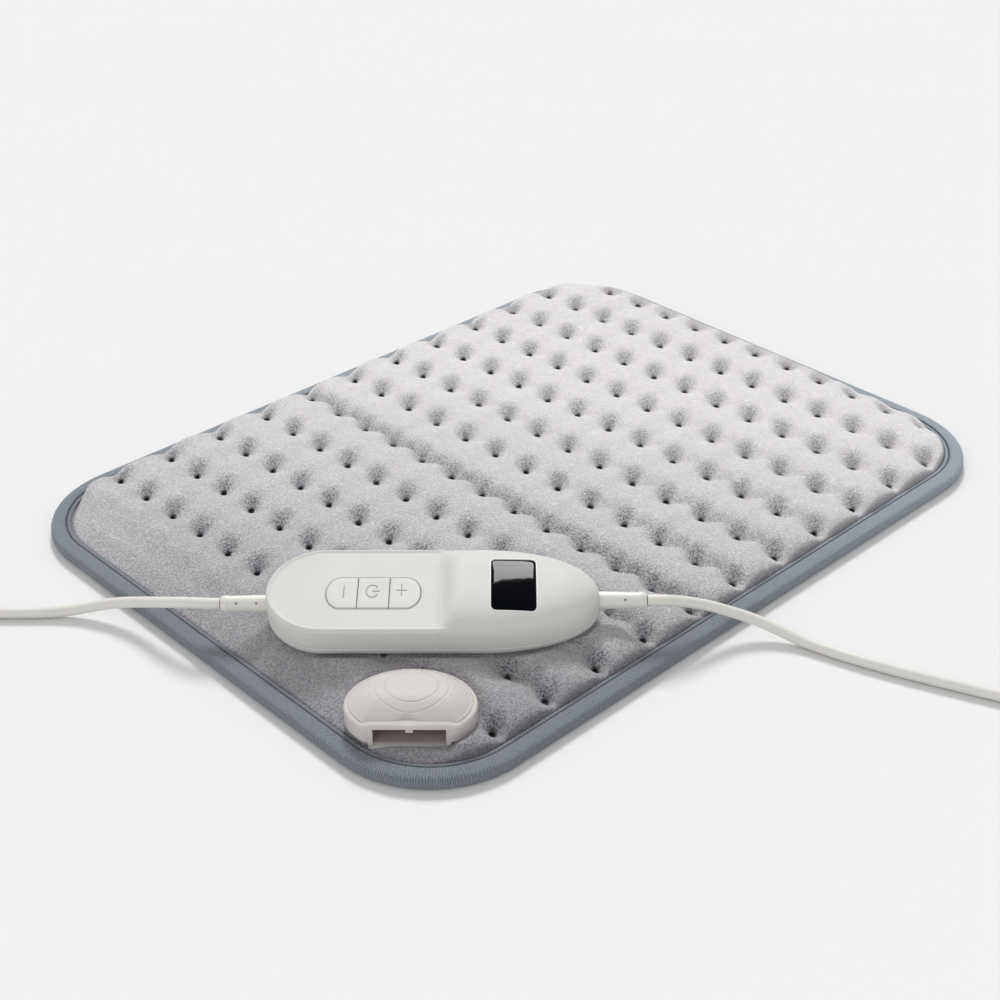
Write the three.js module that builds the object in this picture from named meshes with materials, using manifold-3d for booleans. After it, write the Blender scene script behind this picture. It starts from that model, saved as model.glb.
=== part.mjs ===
// Heating pad with a hand controller, lying flat on a table.  Millimetres, +Z up.
// X runs along the long side of the pad and Y along the short side.  The origin is
// the middle of the pad, on the surface that the pad lies on.

import * as THREE from 'three';
import { mergeVertices } from 'three/addons/utils/BufferGeometryUtils.js';
import Module from 'manifold-3d';

// Clearances and shared values

const seatGap = 0.3;
const cutOverrun = 2;
const fullTurn = Math.PI * 2;
const quarterTurn = Math.PI / 2;
const roundSides = 16;

// The pad

const padLength = 400;
const padWidth = 300;
const padCornerRadius = 50;
const padCornerSteps = 8;
const bindingWidth = 9.5;
const bindingHeight = 6.4;
const bindingTape = 1.1;
const bindingRound = 2.6;
const hemInset = 2.5;
const backingThickness = 2;
const backingHem = 0.6;
const carrierThickness = 0.4;
const wireDiameter = 1.5;
const coverHem = 1.6;
const coverHemReach = 0.6;
const stripHeight = 9.3;
const crestHeight = 16.4;
const dimpleHeight = 6.9;
const edgeRise = 13;
const puffRise = 7;
const tuftColumns = 12;
const tuftRows = 13;
const tuftPitchX = padLength * 0.0755;
const tuftPitchY = padWidth * 0.074;
const firstTuftX = padLength * -0.37;
const rollShare = 0.94;
const beadShare = 0.82;
const coverRingStep = 12;
const latticeMargin = 3.4;

// The controller, in its own frame: U along it, V across it, W up from its underside

const controllerFromEdge = { x: 82.8, y: 85.4 };
const controllerYaw = THREE.MathUtils.degToRad(-43.9);
const controllerLean = THREE.MathUtils.degToRad(9);
const controllerNearLift = 9.7;
const controllerLength = 144;
const controllerWidth = 51;
const controllerHeight = 16.5;
const controllerWall = 1.8;
const noseReach = controllerLength * 0.355;
const domeHeight = 22.4;
const domeSpring = 6.8;
const domeTaper = 1.2;
const domeFullness = 3.4;
const domeStart = 2;
const domeBlend = 8;
const partingHeight = 6;
const undersideRound = 5;
const panelEdge = 1.6;
const panelRim = 1.4;
const panelRecess = 0.4;
const straightSteps = 6;
const coverReachAround = 17;

const keypadCentre = controllerLength * -0.177;
const keypadLength = controllerLength * 0.285;
const keypadWidth = controllerWidth * 0.372;
const keypadShift = -2.25;
const keypadEnd = keypadWidth * 0.35;
const keyProud = 0.35;
const keyFlange = 1;
const keyFlangeThickness = 1;
const keyTravel = 0.8;
const keyStemRadius = 1.4;
const keyStemEngaged = 1.3;

const windowCentre = controllerLength * 0.2396;
const windowLength = controllerLength * 0.136;
const windowWidth = controllerWidth * 0.596;
const windowShift = -2.25;
const windowCorner = 1.6;
const windowThickness = 1.8;
const windowRecess = 0.15;

const boardFrom = controllerLength * -0.368;
const boardTo = controllerLength * 0.347;
const boardWidth = controllerWidth * 0.627;
const boardThickness = 1.6;
const boardLift = 5.3;
const boardPostRadius = 2.5;
const switchSize = 6;
const switchHeight = 3.4;
const switchWell = 2.6;
const relayLength = 15;
const relayWidth = 10;
const relayHeight = 5.2;
const capacitorRadius = 2.9;
const capacitorLength = 12;
const fuseRadius = 2.2;
const fuseLength = 12;
const displayLength = windowLength * 0.85;
const displayWidth = windowWidth * 0.75;
const displayHeight = domeHeight / 2;

const shellScrewPlaces = [
  { uShare: -0.403, vShare: 0.216 },
  { uShare: -0.403, vShare: -0.216 },
  { uShare: 0.396, vShare: 0.176 },
  { uShare: 0.396, vShare: -0.176 },
];
const screwShankRadius = 1.2;
const screwHeadRadius = 2.5;
const screwHeadHeight = 1.7;
const screwReach = 10.4;
const screwSink = 0.4;
const bossWall = 1.7;

const reliefRadius = 3.8;
const reliefLength = 20;
const reliefAxis = { left: 7.6, right: 9.6 };
const reliefInside = { left: 6, right: 8 };
const reliefCollar = 0.8;
const reliefCollarLength = 2;
const reliefTipRound = 0.8;

// The pad connector's housing, in its own frame: A to the right, B to the back, both
// as seen from the front corner of the pad

const inletFromEdge = { x: 33.7, y: 45.1 };
const inletYaw = THREE.MathUtils.degToRad(-44);
const inletHalfWidth = 27.2;
const inletBackReach = 23.2;
const inletFrontReach = 14.2;
const inletFrontRound = 21;
const inletFace = 15.5;
const inletFrame = 0.3;
const inletWall = 1.5;
const inletRimHeight = 16.2;
const inletCrown = 22.2;
const inletEdge = 1.4;
const inletBottom = 9;
const inletBlockTop = 17.5;
const inletBlockBottom = 7.2;
const mouthWidth = 29.4;
const mouthHeight = 7.8;
const mouthFloor = 7.3;
const inletBlockWall = 1;
const mouthDepth = 14.2;
const mouthKeyWidth = 3;
const mouthKeyDrop = 1.5;
const mouthKeyLength = 6;
const inletNeckInset = 2.6;
const inletFlange = 1;
const inletFlangeThickness = 1.5;
const socketWall = 0.9;
const socketBack = 3.4;
const frontDipShare = 0.35;
const pinRadius = 0.8;
const pinCount = 4;
const pinPitch = 7.4;
const pinReach = 4;
const pinTail = 1.6;
const cutoutLength = 12;
const cutoutDepth = 6;
const cutoutHeight = 4;
const inletScrewSpread = 15;
const inletScrewPlace = 8.5;
const inletScrewReach = 12;

// The cords: a mains lead on the left and the pad's lead on the right.  A route's
// points are measured from the tip of its strain relief, and up from the table.

const cordDiameter = 5;
const cordSides = 10;
const cordSteps = 26;
const coilSteps = 24;
const coilSides = 6;
const turnSpacing = 5.6;
const layerSpacing = 5.6;

const mainsRoute = [
  [-0.22, 0.21, 21.2],
  [-3.18, 3.17, 21.2],
  [-6.28, 7.07, 21],
  [-9.28, 12.07, 20.2],
  [-11.88, 18.07, 18.5],
  [-14.18, 24.87, 16.2],
  [-16.38, 32.07, 13.7],
  [-19.08, 39.27, 11.3],
  [-22.58, 46.27, 9.2],
  [-27.08, 52.67, 7.1],
  [-32.48, 58.67, 5.1],
  [-38.68, 64.47, 3.5],
  [-45.68, 70.67, 2.7],
  [-53.28, 77.67, 2.6],
  [-61.68, 85.87, 2.6],
  [-70.88, 94.87, 3.2],
  [-80.08, 103.87, 5.6],
  [-88.88, 112.67, 9.7],
  [-97.28, 121.07, 14.3],
  [-105.38, 129.17, 18],
  [-113.18, 136.97, 19.4],
];
const leadRoute = [
  [0.22, -0.21, 23.18],
  [3.13, -2.95, 23.15],
  [7.03, -6.05, 22.7],
  [12.03, -9.25, 21.4],
  [17.93, -12.55, 19.1],
  [24.53, -16.25, 16.1],
  [31.03, -20.75, 12.6],
  [36.83, -26.45, 9.7],
  [41.53, -33.35, 7],
  [45.03, -41.35, 4.7],
  [47.73, -49.95, 3.1],
  [50.33, -59.35, 2.6],
  [53.53, -70.35, 2.6],
  [57.73, -82.75, 2.6],
  [62.93, -96.35, 2.6],
  [69.13, -111.35, 2.6],
  [76.13, -127.75, 2.6],
  [83.33, -144.35, 2.9],
  [89.93, -159.55, 4.8],
  [95.63, -172.65, 7.2],
  [100.43, -183.65, 8.2],
];

const mainsCoil = { turns: 8.375, layers: 4, meanRadius: 27.5 };
const leadCoil = { turns: 1.5, layers: 2, meanRadius: 25 };

const plugWidth = 26;
const plugThickness = 13.7;
const plugLength = 30;
const plugTail = 9;
const plugPinRadius = 2;
const plugPinLength = 19;
const plugPinSpacing = 18.6;
const plugPinRoot = 4;
const plugReliefLength = 21;
const plugReliefRadius = 4.2;
const connectorBladeLength = 13;
const connectorGripLength = 22;
const connectorGripWidth = 33;
const connectorGripThickness = 11;

// Finishes

const finishes = {
  plush: { color: 0xd0cdcd, roughness: 0.95, metalness: 0 },
  backing: { color: 0xb9bcc0, roughness: 0.95, metalness: 0 },
  binding: { color: 0x9aa1a8, roughness: 0.9, metalness: 0 },
  felt: { color: 0xe6e2d8, roughness: 0.95, metalness: 0 },
  wire: { color: 0xc8503c, roughness: 0.5, metalness: 0 },
  casing: { color: 0xd6d6d4, roughness: 0.4, metalness: 0 },
  keys: { color: 0xd9d9d6, roughness: 0.45, metalness: 0 },
  window: { color: 0x05080c, roughness: 0.08, metalness: 0 },
  socket: { color: 0x6c6260, roughness: 0.6, metalness: 0 },
  cord: { color: 0xcbc9c2, roughness: 0.5, metalness: 0 },
  board: { color: 0x2f6a46, roughness: 0.6, metalness: 0 },
  dark: { color: 0x222426, roughness: 0.5, metalness: 0 },
  blue: { color: 0x2b4f86, roughness: 0.5, metalness: 0 },
  steel: { color: 0xb8babd, roughness: 0.35, metalness: 1 },
  brass: { color: 0xc8a450, roughness: 0.3, metalness: 1 },
};

// Solids: joining and cutting

const wasm = await Module();
wasm.setup();

/** A closed mesh as a solid that can be joined and cut. */
function toSolid(geometry) {
  const bare = geometry.clone();
  for (const key of Object.keys(bare.attributes)) {
    if (key !== 'position') bare.deleteAttribute(key);
  }
  const merged = mergeVertices(bare);
  return new wasm.Manifold(new wasm.Mesh({
    numProp: 3,
    vertProperties: new Float32Array(merged.attributes.position.array),
    triVerts: new Uint32Array(merged.index.array),
  }));
}

/** A solid back as a mesh. */
function toGeometry(solid) {
  const mesh = solid.getMesh();
  const geometry = new THREE.BufferGeometry();
  geometry.setAttribute('position', new THREE.Float32BufferAttribute(mesh.vertProperties, 3));
  geometry.setIndex(Array.from(mesh.triVerts));
  geometry.computeVertexNormals();
  return geometry;
}

/** The first geometry with the others added. */
function join(first, ...others) {
  return toGeometry(others.reduce((solid, other) => solid.add(toSolid(other)), toSolid(first)));
}

/** The first geometry with the others cut away. */
function cut(first, ...others) {
  return toGeometry(others.reduce((solid, other) => solid.subtract(toSolid(other)), toSolid(first)));
}

// Surfaces made from rings of points

/** Triangles of a flat ring seen from above, as index triples. */
function capTriangles(ring) {
  const outline = ring.map((p) => new THREE.Vector2(p.x, p.y));
  return THREE.ShapeUtils.triangulateShape(outline, []);
}

/**
 * A solid through rings that all have the same number of points and run anticlockwise
 * seen from above.  The skin runs from ring to ring.  An open stack is closed by a cap
 * on its first ring, facing down, and one on its last, facing up; a looped stack joins
 * its last ring to its first.
 */
function loft(rings, looped = false) {
  const count = rings[0].length;
  const positions = rings.flat().flatMap((p) => [p.x, p.y, p.z]);
  const index = [];
  const bands = looped ? rings.length : rings.length - 1;
  for (let band = 0; band < bands; band += 1) {
    const low = band * count;
    const high = ((band + 1) % rings.length) * count;
    for (let i = 0; i < count; i += 1) {
      const next = (i + 1) % count;
      index.push(low + i, low + next, high + next, low + i, high + next, high + i);
    }
  }
  if (!looped) {
    const last = (rings.length - 1) * count;
    for (const [a, b, c] of capTriangles(rings[0])) index.push(c, b, a);
    for (const [a, b, c] of capTriangles(rings[rings.length - 1])) index.push(last + a, last + b, last + c);
  }
  const geometry = new THREE.BufferGeometry();
  geometry.setAttribute('position', new THREE.Float32BufferAttribute(positions, 3));
  geometry.setIndex(index);
  geometry.computeVertexNormals();
  return geometry;
}

/** Points of an outline at one height, or at a height worked out for each point. */
function ringAt(outline, height) {
  return outline.map((p) => new THREE.Vector3(p.x, p.y, typeof height === 'function' ? height(p) : height));
}

/** An upright prism on an outline. */
function prism(outline, low, high) {
  return loft([ringAt(outline, low), ringAt(outline, high)]);
}

/** A box between two corners. */
function block(x0, x1, y0, y1, z0, z1) {
  const box = new THREE.BoxGeometry(x1 - x0, y1 - y0, z1 - z0);
  return box.translate((x0 + x1) / 2, (y0 + y1) / 2, (z0 + z1) / 2);
}

/** An upright round bar standing at a place. */
function bar(x, y, z0, z1, radius, sides = roundSides) {
  const round = new THREE.CylinderGeometry(radius, radius, z1 - z0, sides);
  return round.rotateX(quarterTurn).translate(x, y, (z0 + z1) / 2);
}

/** A round bar along X from x0 to x1. */
function barAlongX(x0, x1, y, z, radius, sides = roundSides) {
  const round = new THREE.CylinderGeometry(radius, radius, x1 - x0, sides);
  return round.rotateZ(quarterTurn).translate((x0 + x1) / 2, y, z);
}

/** A round bar along Y from y0 to y1. */
function barAlongY(y0, y1, x, z, radius, sides = roundSides) {
  return new THREE.CylinderGeometry(radius, radius, y1 - y0, sides).translate(x, (y0 + y1) / 2, z);
}

/** A turned solid about X, from pairs of place along X and radius. */
function turnedAlongX(profile, sides = roundSides) {
  const points = [
    new THREE.Vector2(0, profile[0][0]),
    ...profile.map(([along, radius]) => new THREE.Vector2(radius, along)),
    new THREE.Vector2(0, profile[profile.length - 1][0]),
  ];
  return new THREE.LatheGeometry(points, sides).rotateZ(-quarterTurn);
}

/** A smooth step from 0 to 1 as a value goes from 0 to 1. */
function ease(value) {
  const t = THREE.MathUtils.clamp(value, 0, 1);
  return t * t * (3 - 2 * t);
}

/** A rectangle with round corners about the origin, anticlockwise, drawn in by an inset. */
function roundedOutline(length, width, radius, inset, cornerSteps, sideStep = Infinity) {
  const corner = Math.max(radius - inset, 0);
  const centreX = length / 2 - inset - corner;
  const centreY = width / 2 - inset - corner;
  const points = [];
  const turns = [[1, 1], [-1, 1], [-1, -1], [1, -1]];
  turns.forEach(([sideX, sideY], quarter) => {
    const from = new THREE.Vector2(sideX * centreX, sideY * centreY);
    for (let step = 0; step <= cornerSteps; step += 1) {
      const angle = quarterTurn * (quarter + step / cornerSteps);
      points.push(new THREE.Vector2(from.x + corner * Math.cos(angle), from.y + corner * Math.sin(angle)));
    }
    const run = quarter % 2 === 0 ? 2 * centreX : 2 * centreY;
    const pieces = Math.max(1, Math.round(run / sideStep));
    const start = points[points.length - 1];
    const along = quarter % 2 === 0 ? new THREE.Vector2(-sideX, 0) : new THREE.Vector2(0, -sideY);
    for (let piece = 1; piece < pieces; piece += 1) {
      points.push(start.clone().addScaledVector(along, (run * piece) / pieces));
    }
  });
  return points;
}

/**
 * Triangles over points in the plane whose hull is convex, as index triples that run
 * anticlockwise.  Each point in turn opens the triangles whose circle holds it and fans
 * the hole.  The test runs on a copy of the points bulged outwards a little, so that
 * straight sides and square cells give one clear answer.
 */
function triangulate(points, length, width) {
  const bulgeShare = 0.02;
  const slantShare = 0.013;
  const bent = points.map((p) => ({
    x: p.x * (1 + bulgeShare * (1 - (p.y / width) ** 2)) + slantShare * p.y,
    y: p.y * (1 + bulgeShare * (1 - (p.x / length) ** 2)),
  }));
  const farShare = 4000;
  const far = length * farShare;
  bent.push({ x: -far, y: -far }, { x: far, y: -far }, { x: 0, y: far });
  const circle = (a, b, c) => {
    const [p, q, r] = [bent[a], bent[b], bent[c]];
    const [bx, by, cx, cy] = [q.x - p.x, q.y - p.y, r.x - p.x, r.y - p.y];
    const doubled = 2 * (bx * cy - by * cx);
    const ux = (cy * (bx * bx + by * by) - by * (cx * cx + cy * cy)) / doubled;
    const uy = (bx * (cx * cx + cy * cy) - cx * (bx * bx + by * by)) / doubled;
    return { a, b, c, x: p.x + ux, y: p.y + uy, reach: ux * ux + uy * uy };
  };
  const count = points.length;
  let faces = [circle(count, count + 1, count + 2)];
  for (let i = 0; i < count; i += 1) {
    const { x, y } = bent[i];
    const edges = new Map();
    const kept = [];
    for (const face of faces) {
      if ((face.x - x) ** 2 + (face.y - y) ** 2 >= face.reach) {
        kept.push(face);
        continue;
      }
      for (const [from, to] of [[face.a, face.b], [face.b, face.c], [face.c, face.a]]) {
        const back = `${to},${from}`;
        if (edges.has(back)) edges.delete(back);
        else edges.set(`${from},${to}`, [from, to]);
      }
    }
    faces = kept;
    for (const [from, to] of edges.values()) faces.push(circle(from, to, i));
  }
  return faces.filter((face) => Math.max(face.a, face.b, face.c) < count).map(({ a, b, c }) => [a, b, c]);
}

/** A closed tube of even thickness through points, with a ring of corners at each. */
function tube(points, radius, sides) {
  const up = new THREE.Vector3(0, 0, 1);
  const rings = points.map((point, i) => {
    const before = points[Math.max(i - 1, 0)];
    const after = points[Math.min(i + 1, points.length - 1)];
    const tangent = after.clone().sub(before).normalize();
    const side = tangent.clone().cross(up).normalize();
    const lift = side.clone().cross(tangent);
    return Array.from({ length: sides }, (_, k) => {
      const angle = (fullTurn * (k + 1 / 2)) / sides;
      return point.clone()
        .addScaledVector(side, radius * Math.cos(angle))
        .addScaledVector(lift, radius * Math.sin(angle));
    });
  });
  const positions = rings.flat().flatMap((p) => [p.x, p.y, p.z]);
  const index = [];
  for (let i = 0; i + 1 < rings.length; i += 1) {
    for (let k = 0; k < sides; k += 1) {
      const next = (k + 1) % sides;
      const [a, b] = [i * sides + k, i * sides + next];
      index.push(a, b + sides, b, a, a + sides, b + sides);
    }
  }
  const last = (rings.length - 1) * sides;
  for (let k = 1; k + 1 < sides; k += 1) {
    index.push(0, k, k + 1);
    index.push(last, last + k + 1, last + k);
  }
  const geometry = new THREE.BufferGeometry();
  geometry.setAttribute('position', new THREE.Float32BufferAttribute(positions, 3));
  geometry.setIndex(index);
  geometry.computeVertexNormals();
  return geometry;
}

// The model and its groups

const model = new THREE.Group();
const controllerLift = controllerNearLift + (controllerWidth / 2) * Math.sin(controllerLean);

const controllerTurn = new THREE.Group();
controllerTurn.position.set(
  controllerFromEdge.x - padLength / 2, controllerFromEdge.y - padWidth / 2, controllerLift,
);
controllerTurn.rotation.z = controllerYaw;
const controller = new THREE.Group();
controller.rotation.x = controllerLean;
controllerTurn.add(controller);
model.add(controllerTurn);

const inlet = new THREE.Group();
inlet.position.set(inletFromEdge.x - padLength / 2, inletFromEdge.y - padWidth / 2, 0);
inlet.rotation.z = inletYaw;
model.add(inlet);
model.updateMatrixWorld(true);

/** Add one named piece to a group. */
function piece(name, geometry, finish, parent = model) {
  const mesh = new THREE.Mesh(geometry, new THREE.MeshStandardMaterial(finishes[finish]));
  mesh.name = name;
  parent.add(mesh);
  return mesh;
}

// Heights of the pad's layers, from the table up

const backingHemLow = bindingTape + seatGap;
const backingTop = backingThickness;
const carrierLow = backingTop + seatGap;
const carrierTop = carrierLow + carrierThickness;
const wireLow = carrierTop + seatGap;
const wireTop = wireLow + wireDiameter;
const coverLow = wireTop + seatGap;
const coverHemTop = bindingHeight - bindingTape - seatGap;
const coverHemLow = coverHemTop - coverHem;
const coverInset = bindingWidth + seatGap;

/** How far a place on the pad lies inside the pad's outer edge. */
function edgeInset(x, y) {
  const dx = Math.abs(x) - (padLength / 2 - padCornerRadius);
  const dy = Math.abs(y) - (padWidth / 2 - padCornerRadius);
  if (dx > 0 && dy > 0) return padCornerRadius - Math.hypot(dx, dy);
  return padCornerRadius - Math.max(dx, dy);
}

// Outlines of the controller

/** The controller's outline drawn in by an inset: a round end, two sides and a long nose. */
function controllerOutline(inset) {
  const half = controllerWidth / 2;
  const roundCentre = -controllerLength / 2 + half;
  const noseCentre = controllerLength / 2 - noseReach;
  const points = [];
  const noseSteps = 16;
  for (let step = 0; step <= noseSteps; step += 1) {
    const angle = -quarterTurn + (Math.PI * step) / noseSteps;
    points.push(new THREE.Vector2(
      noseCentre + (noseReach - inset) * Math.cos(angle),
      (half - inset) * Math.sin(angle),
    ));
  }
  for (let step = 1; step < straightSteps; step += 1) {
    const along = THREE.MathUtils.lerp(noseCentre, roundCentre, step / straightSteps);
    points.push(new THREE.Vector2(along, half - inset));
  }
  const roundSteps = 12;
  for (let step = 0; step <= roundSteps; step += 1) {
    const angle = quarterTurn + (Math.PI * step) / roundSteps;
    points.push(new THREE.Vector2(
      roundCentre + (half - inset) * Math.cos(angle),
      (half - inset) * Math.sin(angle),
    ));
  }
  for (let step = 1; step < straightSteps; step += 1) {
    const along = THREE.MathUtils.lerp(roundCentre, noseCentre, step / straightSteps);
    points.push(new THREE.Vector2(along, -(half - inset)));
  }
  return points;
}

/** How far a place in the controller's plan lies inside its outline; negative outside. */
function controllerInset(u, v) {
  const half = controllerWidth / 2;
  const roundCentre = -controllerLength / 2 + half;
  const noseCentre = controllerLength / 2 - noseReach;
  if (u < roundCentre) return half - Math.hypot(u - roundCentre, v);
  if (u < noseCentre) return half - Math.abs(v);
  let low = -controllerLength;
  let high = half;
  const halvings = 40;
  for (let step = 0; step < halvings; step += 1) {
    const middle = (low + high) / 2;
    const inside = ((u - noseCentre) / (noseReach - middle)) ** 2 + (v / (half - middle)) ** 2;
    if (inside < 1) low = middle;
    else high = middle;
  }
  return low;
}

/** The height of the domed end over its parting line, at an inset and a place along U. */
function domeTop(u, inset) {
  const noseCentre = controllerLength / 2 - noseReach;
  const along = Math.max((u - noseCentre) / noseReach, 0);
  const crown = domeHeight - domeTaper * along ** 4;
  const outward = 1 - Math.min(inset / (controllerWidth / 2), 1);
  return domeSpring + (crown - domeSpring) * (1 - outward ** domeFullness) ** (1 / domeFullness);
}

/** The height of the flat end's panel, with its rounded edge and its thin raised rim. */
function panelTop(inset) {
  if (inset < panelRim) return controllerHeight - panelEdge * (1 - inset / panelRim) ** 2;
  return controllerHeight - panelRecess * ease((inset - panelRim) / panelRim);
}

/** The controller's top at an inset and a place along U. */
function controllerTop(u, inset) {
  const domed = ease((u - domeStart) / domeBlend);
  return THREE.MathUtils.lerp(panelTop(inset), domeTop(u, inset), domed);
}

// Outlines of the inlet housing

/** The housing's outline drawn in by an inset: round, with its front cut flat beside the mouth. */
function inletOutline(inset, frontReach = inletFrontRound) {
  const steps = 36;
  return Array.from({ length: steps }, (_, step) => {
    const angle = (fullTurn * step) / steps;
    const reach = Math.sin(angle) > 0 ? inletBackReach : frontReach;
    return new THREE.Vector2(
      (inletHalfWidth - inset) * Math.cos(angle),
      Math.max((reach - inset) * Math.sin(angle), inletFrame + inset - inletFace),
    );
  });
}

/** The half width of the block around the mouth. */
const inletBlockHalf = mouthWidth / 2 + socketWall + seatGap + inletBlockWall;

// The pad's top cover: plush quilted onto its wadding

const socketLow = mouthFloor - socketWall;
const inletTurnBack = inlet.matrixWorld.clone().invert();
const controllerTurnBack = controller.matrixWorld.clone().invert();
const controllerFloor = new THREE.Plane(new THREE.Vector3(0, 0, 1), 0).applyMatrix4(controller.matrixWorld);

/** The height of the controller's underside plane over a place on the pad. */
function undersideHeight(x, y) {
  const { normal, constant } = controllerFloor;
  return -(constant + normal.x * x + normal.y * y) / normal.z;
}

/** The cover's height before anything rests on it. */
function looseCoverHeight(x, y) {
  const inside = edgeInset(x, y) - coverInset;
  const strip = THREE.MathUtils.lerp(coverHemTop, stripHeight, ease(inside / edgeRise));
  const column = (x - firstTuftX) / tuftPitchX;
  const roll = Math.abs(Math.sin(Math.PI * column));
  const bead = Math.abs(Math.sin((Math.PI * y) / tuftPitchY));
  const puff = rollShare * roll + beadShare * bead - (rollShare + beadShare - 1) * roll * bead;
  const tufted = THREE.MathUtils.lerp(dimpleHeight, crestHeight, puff);
  const risen = THREE.MathUtils.lerp(coverHemTop, tufted, ease(inside / puffRise));
  return THREE.MathUtils.lerp(strip, risen, ease((column + 1) * 2));
}

/** The cover's height, pressed down under the controller and under the housing's rim. */
function coverHeight(x, y) {
  const loose = looseCoverHeight(x, y);
  const onController = new THREE.Vector3(x, y, undersideHeight(x, y)).applyMatrix4(controllerTurnBack);
  const outside = Math.max(-controllerInset(onController.x, onController.y) - coverReachAround, 0);
  const underController = undersideHeight(x, y) - seatGap + outside;
  const onInlet = new THREE.Vector3(x, y, 0).applyMatrix4(inletTurnBack);
  const reach = onInlet.y > 0 ? inletBackReach : inletFrontRound;
  const round = Math.max(Math.hypot(onInlet.x / inletHalfWidth, onInlet.y / reach), -onInlet.y / inletFrontReach);
  const away = Math.max(round * inletHalfWidth - inletHalfWidth - coverReachAround, 0);
  const forward = ease(-onInlet.y / inletFrontReach + frontDipShare);
  const underInlet = THREE.MathUtils.lerp(inletBottom, socketLow, forward) - seatGap + away;
  return Math.min(loose, underController, underInlet);
}

function makeTopCover() {
  const rim = roundedOutline(padLength, padWidth, padCornerRadius, coverInset, padCornerSteps, coverRingStep);
  const points = [...rim];
  for (let i = -3; i <= 2 * tuftColumns; i += 1) {
    for (let j = -tuftRows; j <= tuftRows; j += 1) {
      const x = firstTuftX + (i * tuftPitchX) / 2;
      const y = (j * tuftPitchY) / 2;
      if (edgeInset(x, y) > coverInset + latticeMargin) points.push(new THREE.Vector2(x, y));
    }
  }
  const faces = triangulate(points, padLength, padWidth);
  const positions = points.flatMap((p) => [p.x, p.y, coverHeight(p.x, p.y)]);
  rim.forEach((p) => positions.push(p.x, p.y, coverLow));
  const index = faces.flat();
  const low = points.length;
  rim.forEach((_, i) => {
    const next = (i + 1) % rim.length;
    index.push(low + i, low + next, next, low + i, next, i);
  });
  for (const [a, b, c] of capTriangles(rim)) index.push(low + c, low + b, low + a);
  const quilt = new THREE.BufferGeometry();
  quilt.setAttribute('position', new THREE.Float32BufferAttribute(positions, 3));
  quilt.setIndex(index);

  const hemOuter = roundedOutline(padLength, padWidth, padCornerRadius, hemInset, padCornerSteps);
  const hemInner = roundedOutline(padLength, padWidth, padCornerRadius, coverInset + coverHemReach, padCornerSteps);
  const hem = loft([
    ringAt(hemInner, coverHemLow), ringAt(hemOuter, coverHemLow),
    ringAt(hemOuter, coverHemTop), ringAt(hemInner, coverHemTop),
  ], true);

  const hole = prism(inletOutline(inletNeckInset - seatGap), 0, crestHeight);
  const mouthHole = block(-inletBlockHalf, inletBlockHalf, -inletFace, 0, 0, crestHeight);
  hole.applyMatrix4(inlet.matrixWorld);
  mouthHole.applyMatrix4(inlet.matrixWorld);
  return cut(join(quilt, hem), hole, mouthHole);
}
piece('pad_top_cover', makeTopCover(), 'plush');

// The pad's backing, its binding and the layer that carries the heating wire

function padRing(inset, height) {
  return ringAt(roundedOutline(padLength, padWidth, padCornerRadius, inset, padCornerSteps), height);
}
piece('pad_bottom_cover', loft([
  padRing(bindingWidth + seatGap, 0),
  padRing(bindingWidth + seatGap, backingHemLow),
  padRing(hemInset, backingHemLow),
  padRing(hemInset, backingHemLow + backingHem),
  padRing(bindingWidth + seatGap, backingTop),
]), 'backing');
piece('wire_carrier', prism(
  roundedOutline(padLength, padWidth, padCornerRadius, bindingWidth, padCornerSteps), carrierLow, carrierTop,
), 'felt');

const bindingEdge = bindingRound * (1 - Math.SQRT1_2);
piece('edge_binding', loft([
  padRing(bindingWidth, 0),
  padRing(bindingRound, 0),
  padRing(bindingEdge, bindingEdge),
  padRing(0, bindingRound),
  padRing(0, bindingHeight - bindingRound),
  padRing(bindingEdge, bindingHeight - bindingEdge),
  padRing(bindingRound, bindingHeight),
  padRing(bindingWidth, bindingHeight),
  padRing(bindingWidth, bindingHeight - bindingTape),
  padRing(bindingRound, bindingHeight - bindingTape),
  padRing(bindingTape, bindingHeight - bindingRound),
  padRing(bindingTape, bindingRound),
  padRing(bindingRound, bindingTape),
  padRing(bindingWidth, bindingTape),
], true), 'binding');

function makeHeatingWire() {
  const height = wireLow + wireDiameter / 2;
  const turnRadius = tuftPitchY / 2;
  const rightEnd = firstTuftX + (tuftColumns - 1) * tuftPitchX - 2 * turnRadius;
  const lowest = -((tuftRows - 2) * tuftPitchY) / 2;
  const terminalGap = inletFlange + seatGap + wireDiameter / 2;
  const leftEnd = inlet.position.x + inletHalfWidth + terminalGap;
  const finish = inlet.localToWorld(new THREE.Vector3(0, inletBackReach + terminalGap, 0));
  const points = [new THREE.Vector3(leftEnd, lowest, height)];
  const bendSteps = 5;
  for (let run = 0; run < tuftRows - 1; run += 1) {
    const y = lowest + run * tuftPitchY;
    const rightward = run % 2 === 0;
    const centre = rightward ? rightEnd : leftEnd + turnRadius;
    points.push(new THREE.Vector3(centre, y, height));
    if (run === tuftRows - 2) break;
    for (let step = 1; step <= bendSteps; step += 1) {
      const angle = -quarterTurn + (Math.PI * step) / bendSteps;
      const out = rightward ? Math.cos(angle) : -Math.cos(angle);
      points.push(new THREE.Vector3(
        centre + turnRadius * out, y + turnRadius + turnRadius * Math.sin(angle), height,
      ));
    }
  }
  const top = points[points.length - 1].y;
  for (let step = 0; step <= bendSteps; step += 1) {
    const angle = quarterTurn + (quarterTurn * step) / bendSteps;
    points.push(new THREE.Vector3(
      finish.x + turnRadius + turnRadius * Math.cos(angle), top - turnRadius + turnRadius * Math.sin(angle), height,
    ));
  }
  points.push(new THREE.Vector3(finish.x, finish.y, height));
  return tube(points, wireDiameter / 2, coilSides);
}
piece('heating_wire', makeHeatingWire(), 'wire');

// The pad connector's housing

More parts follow.
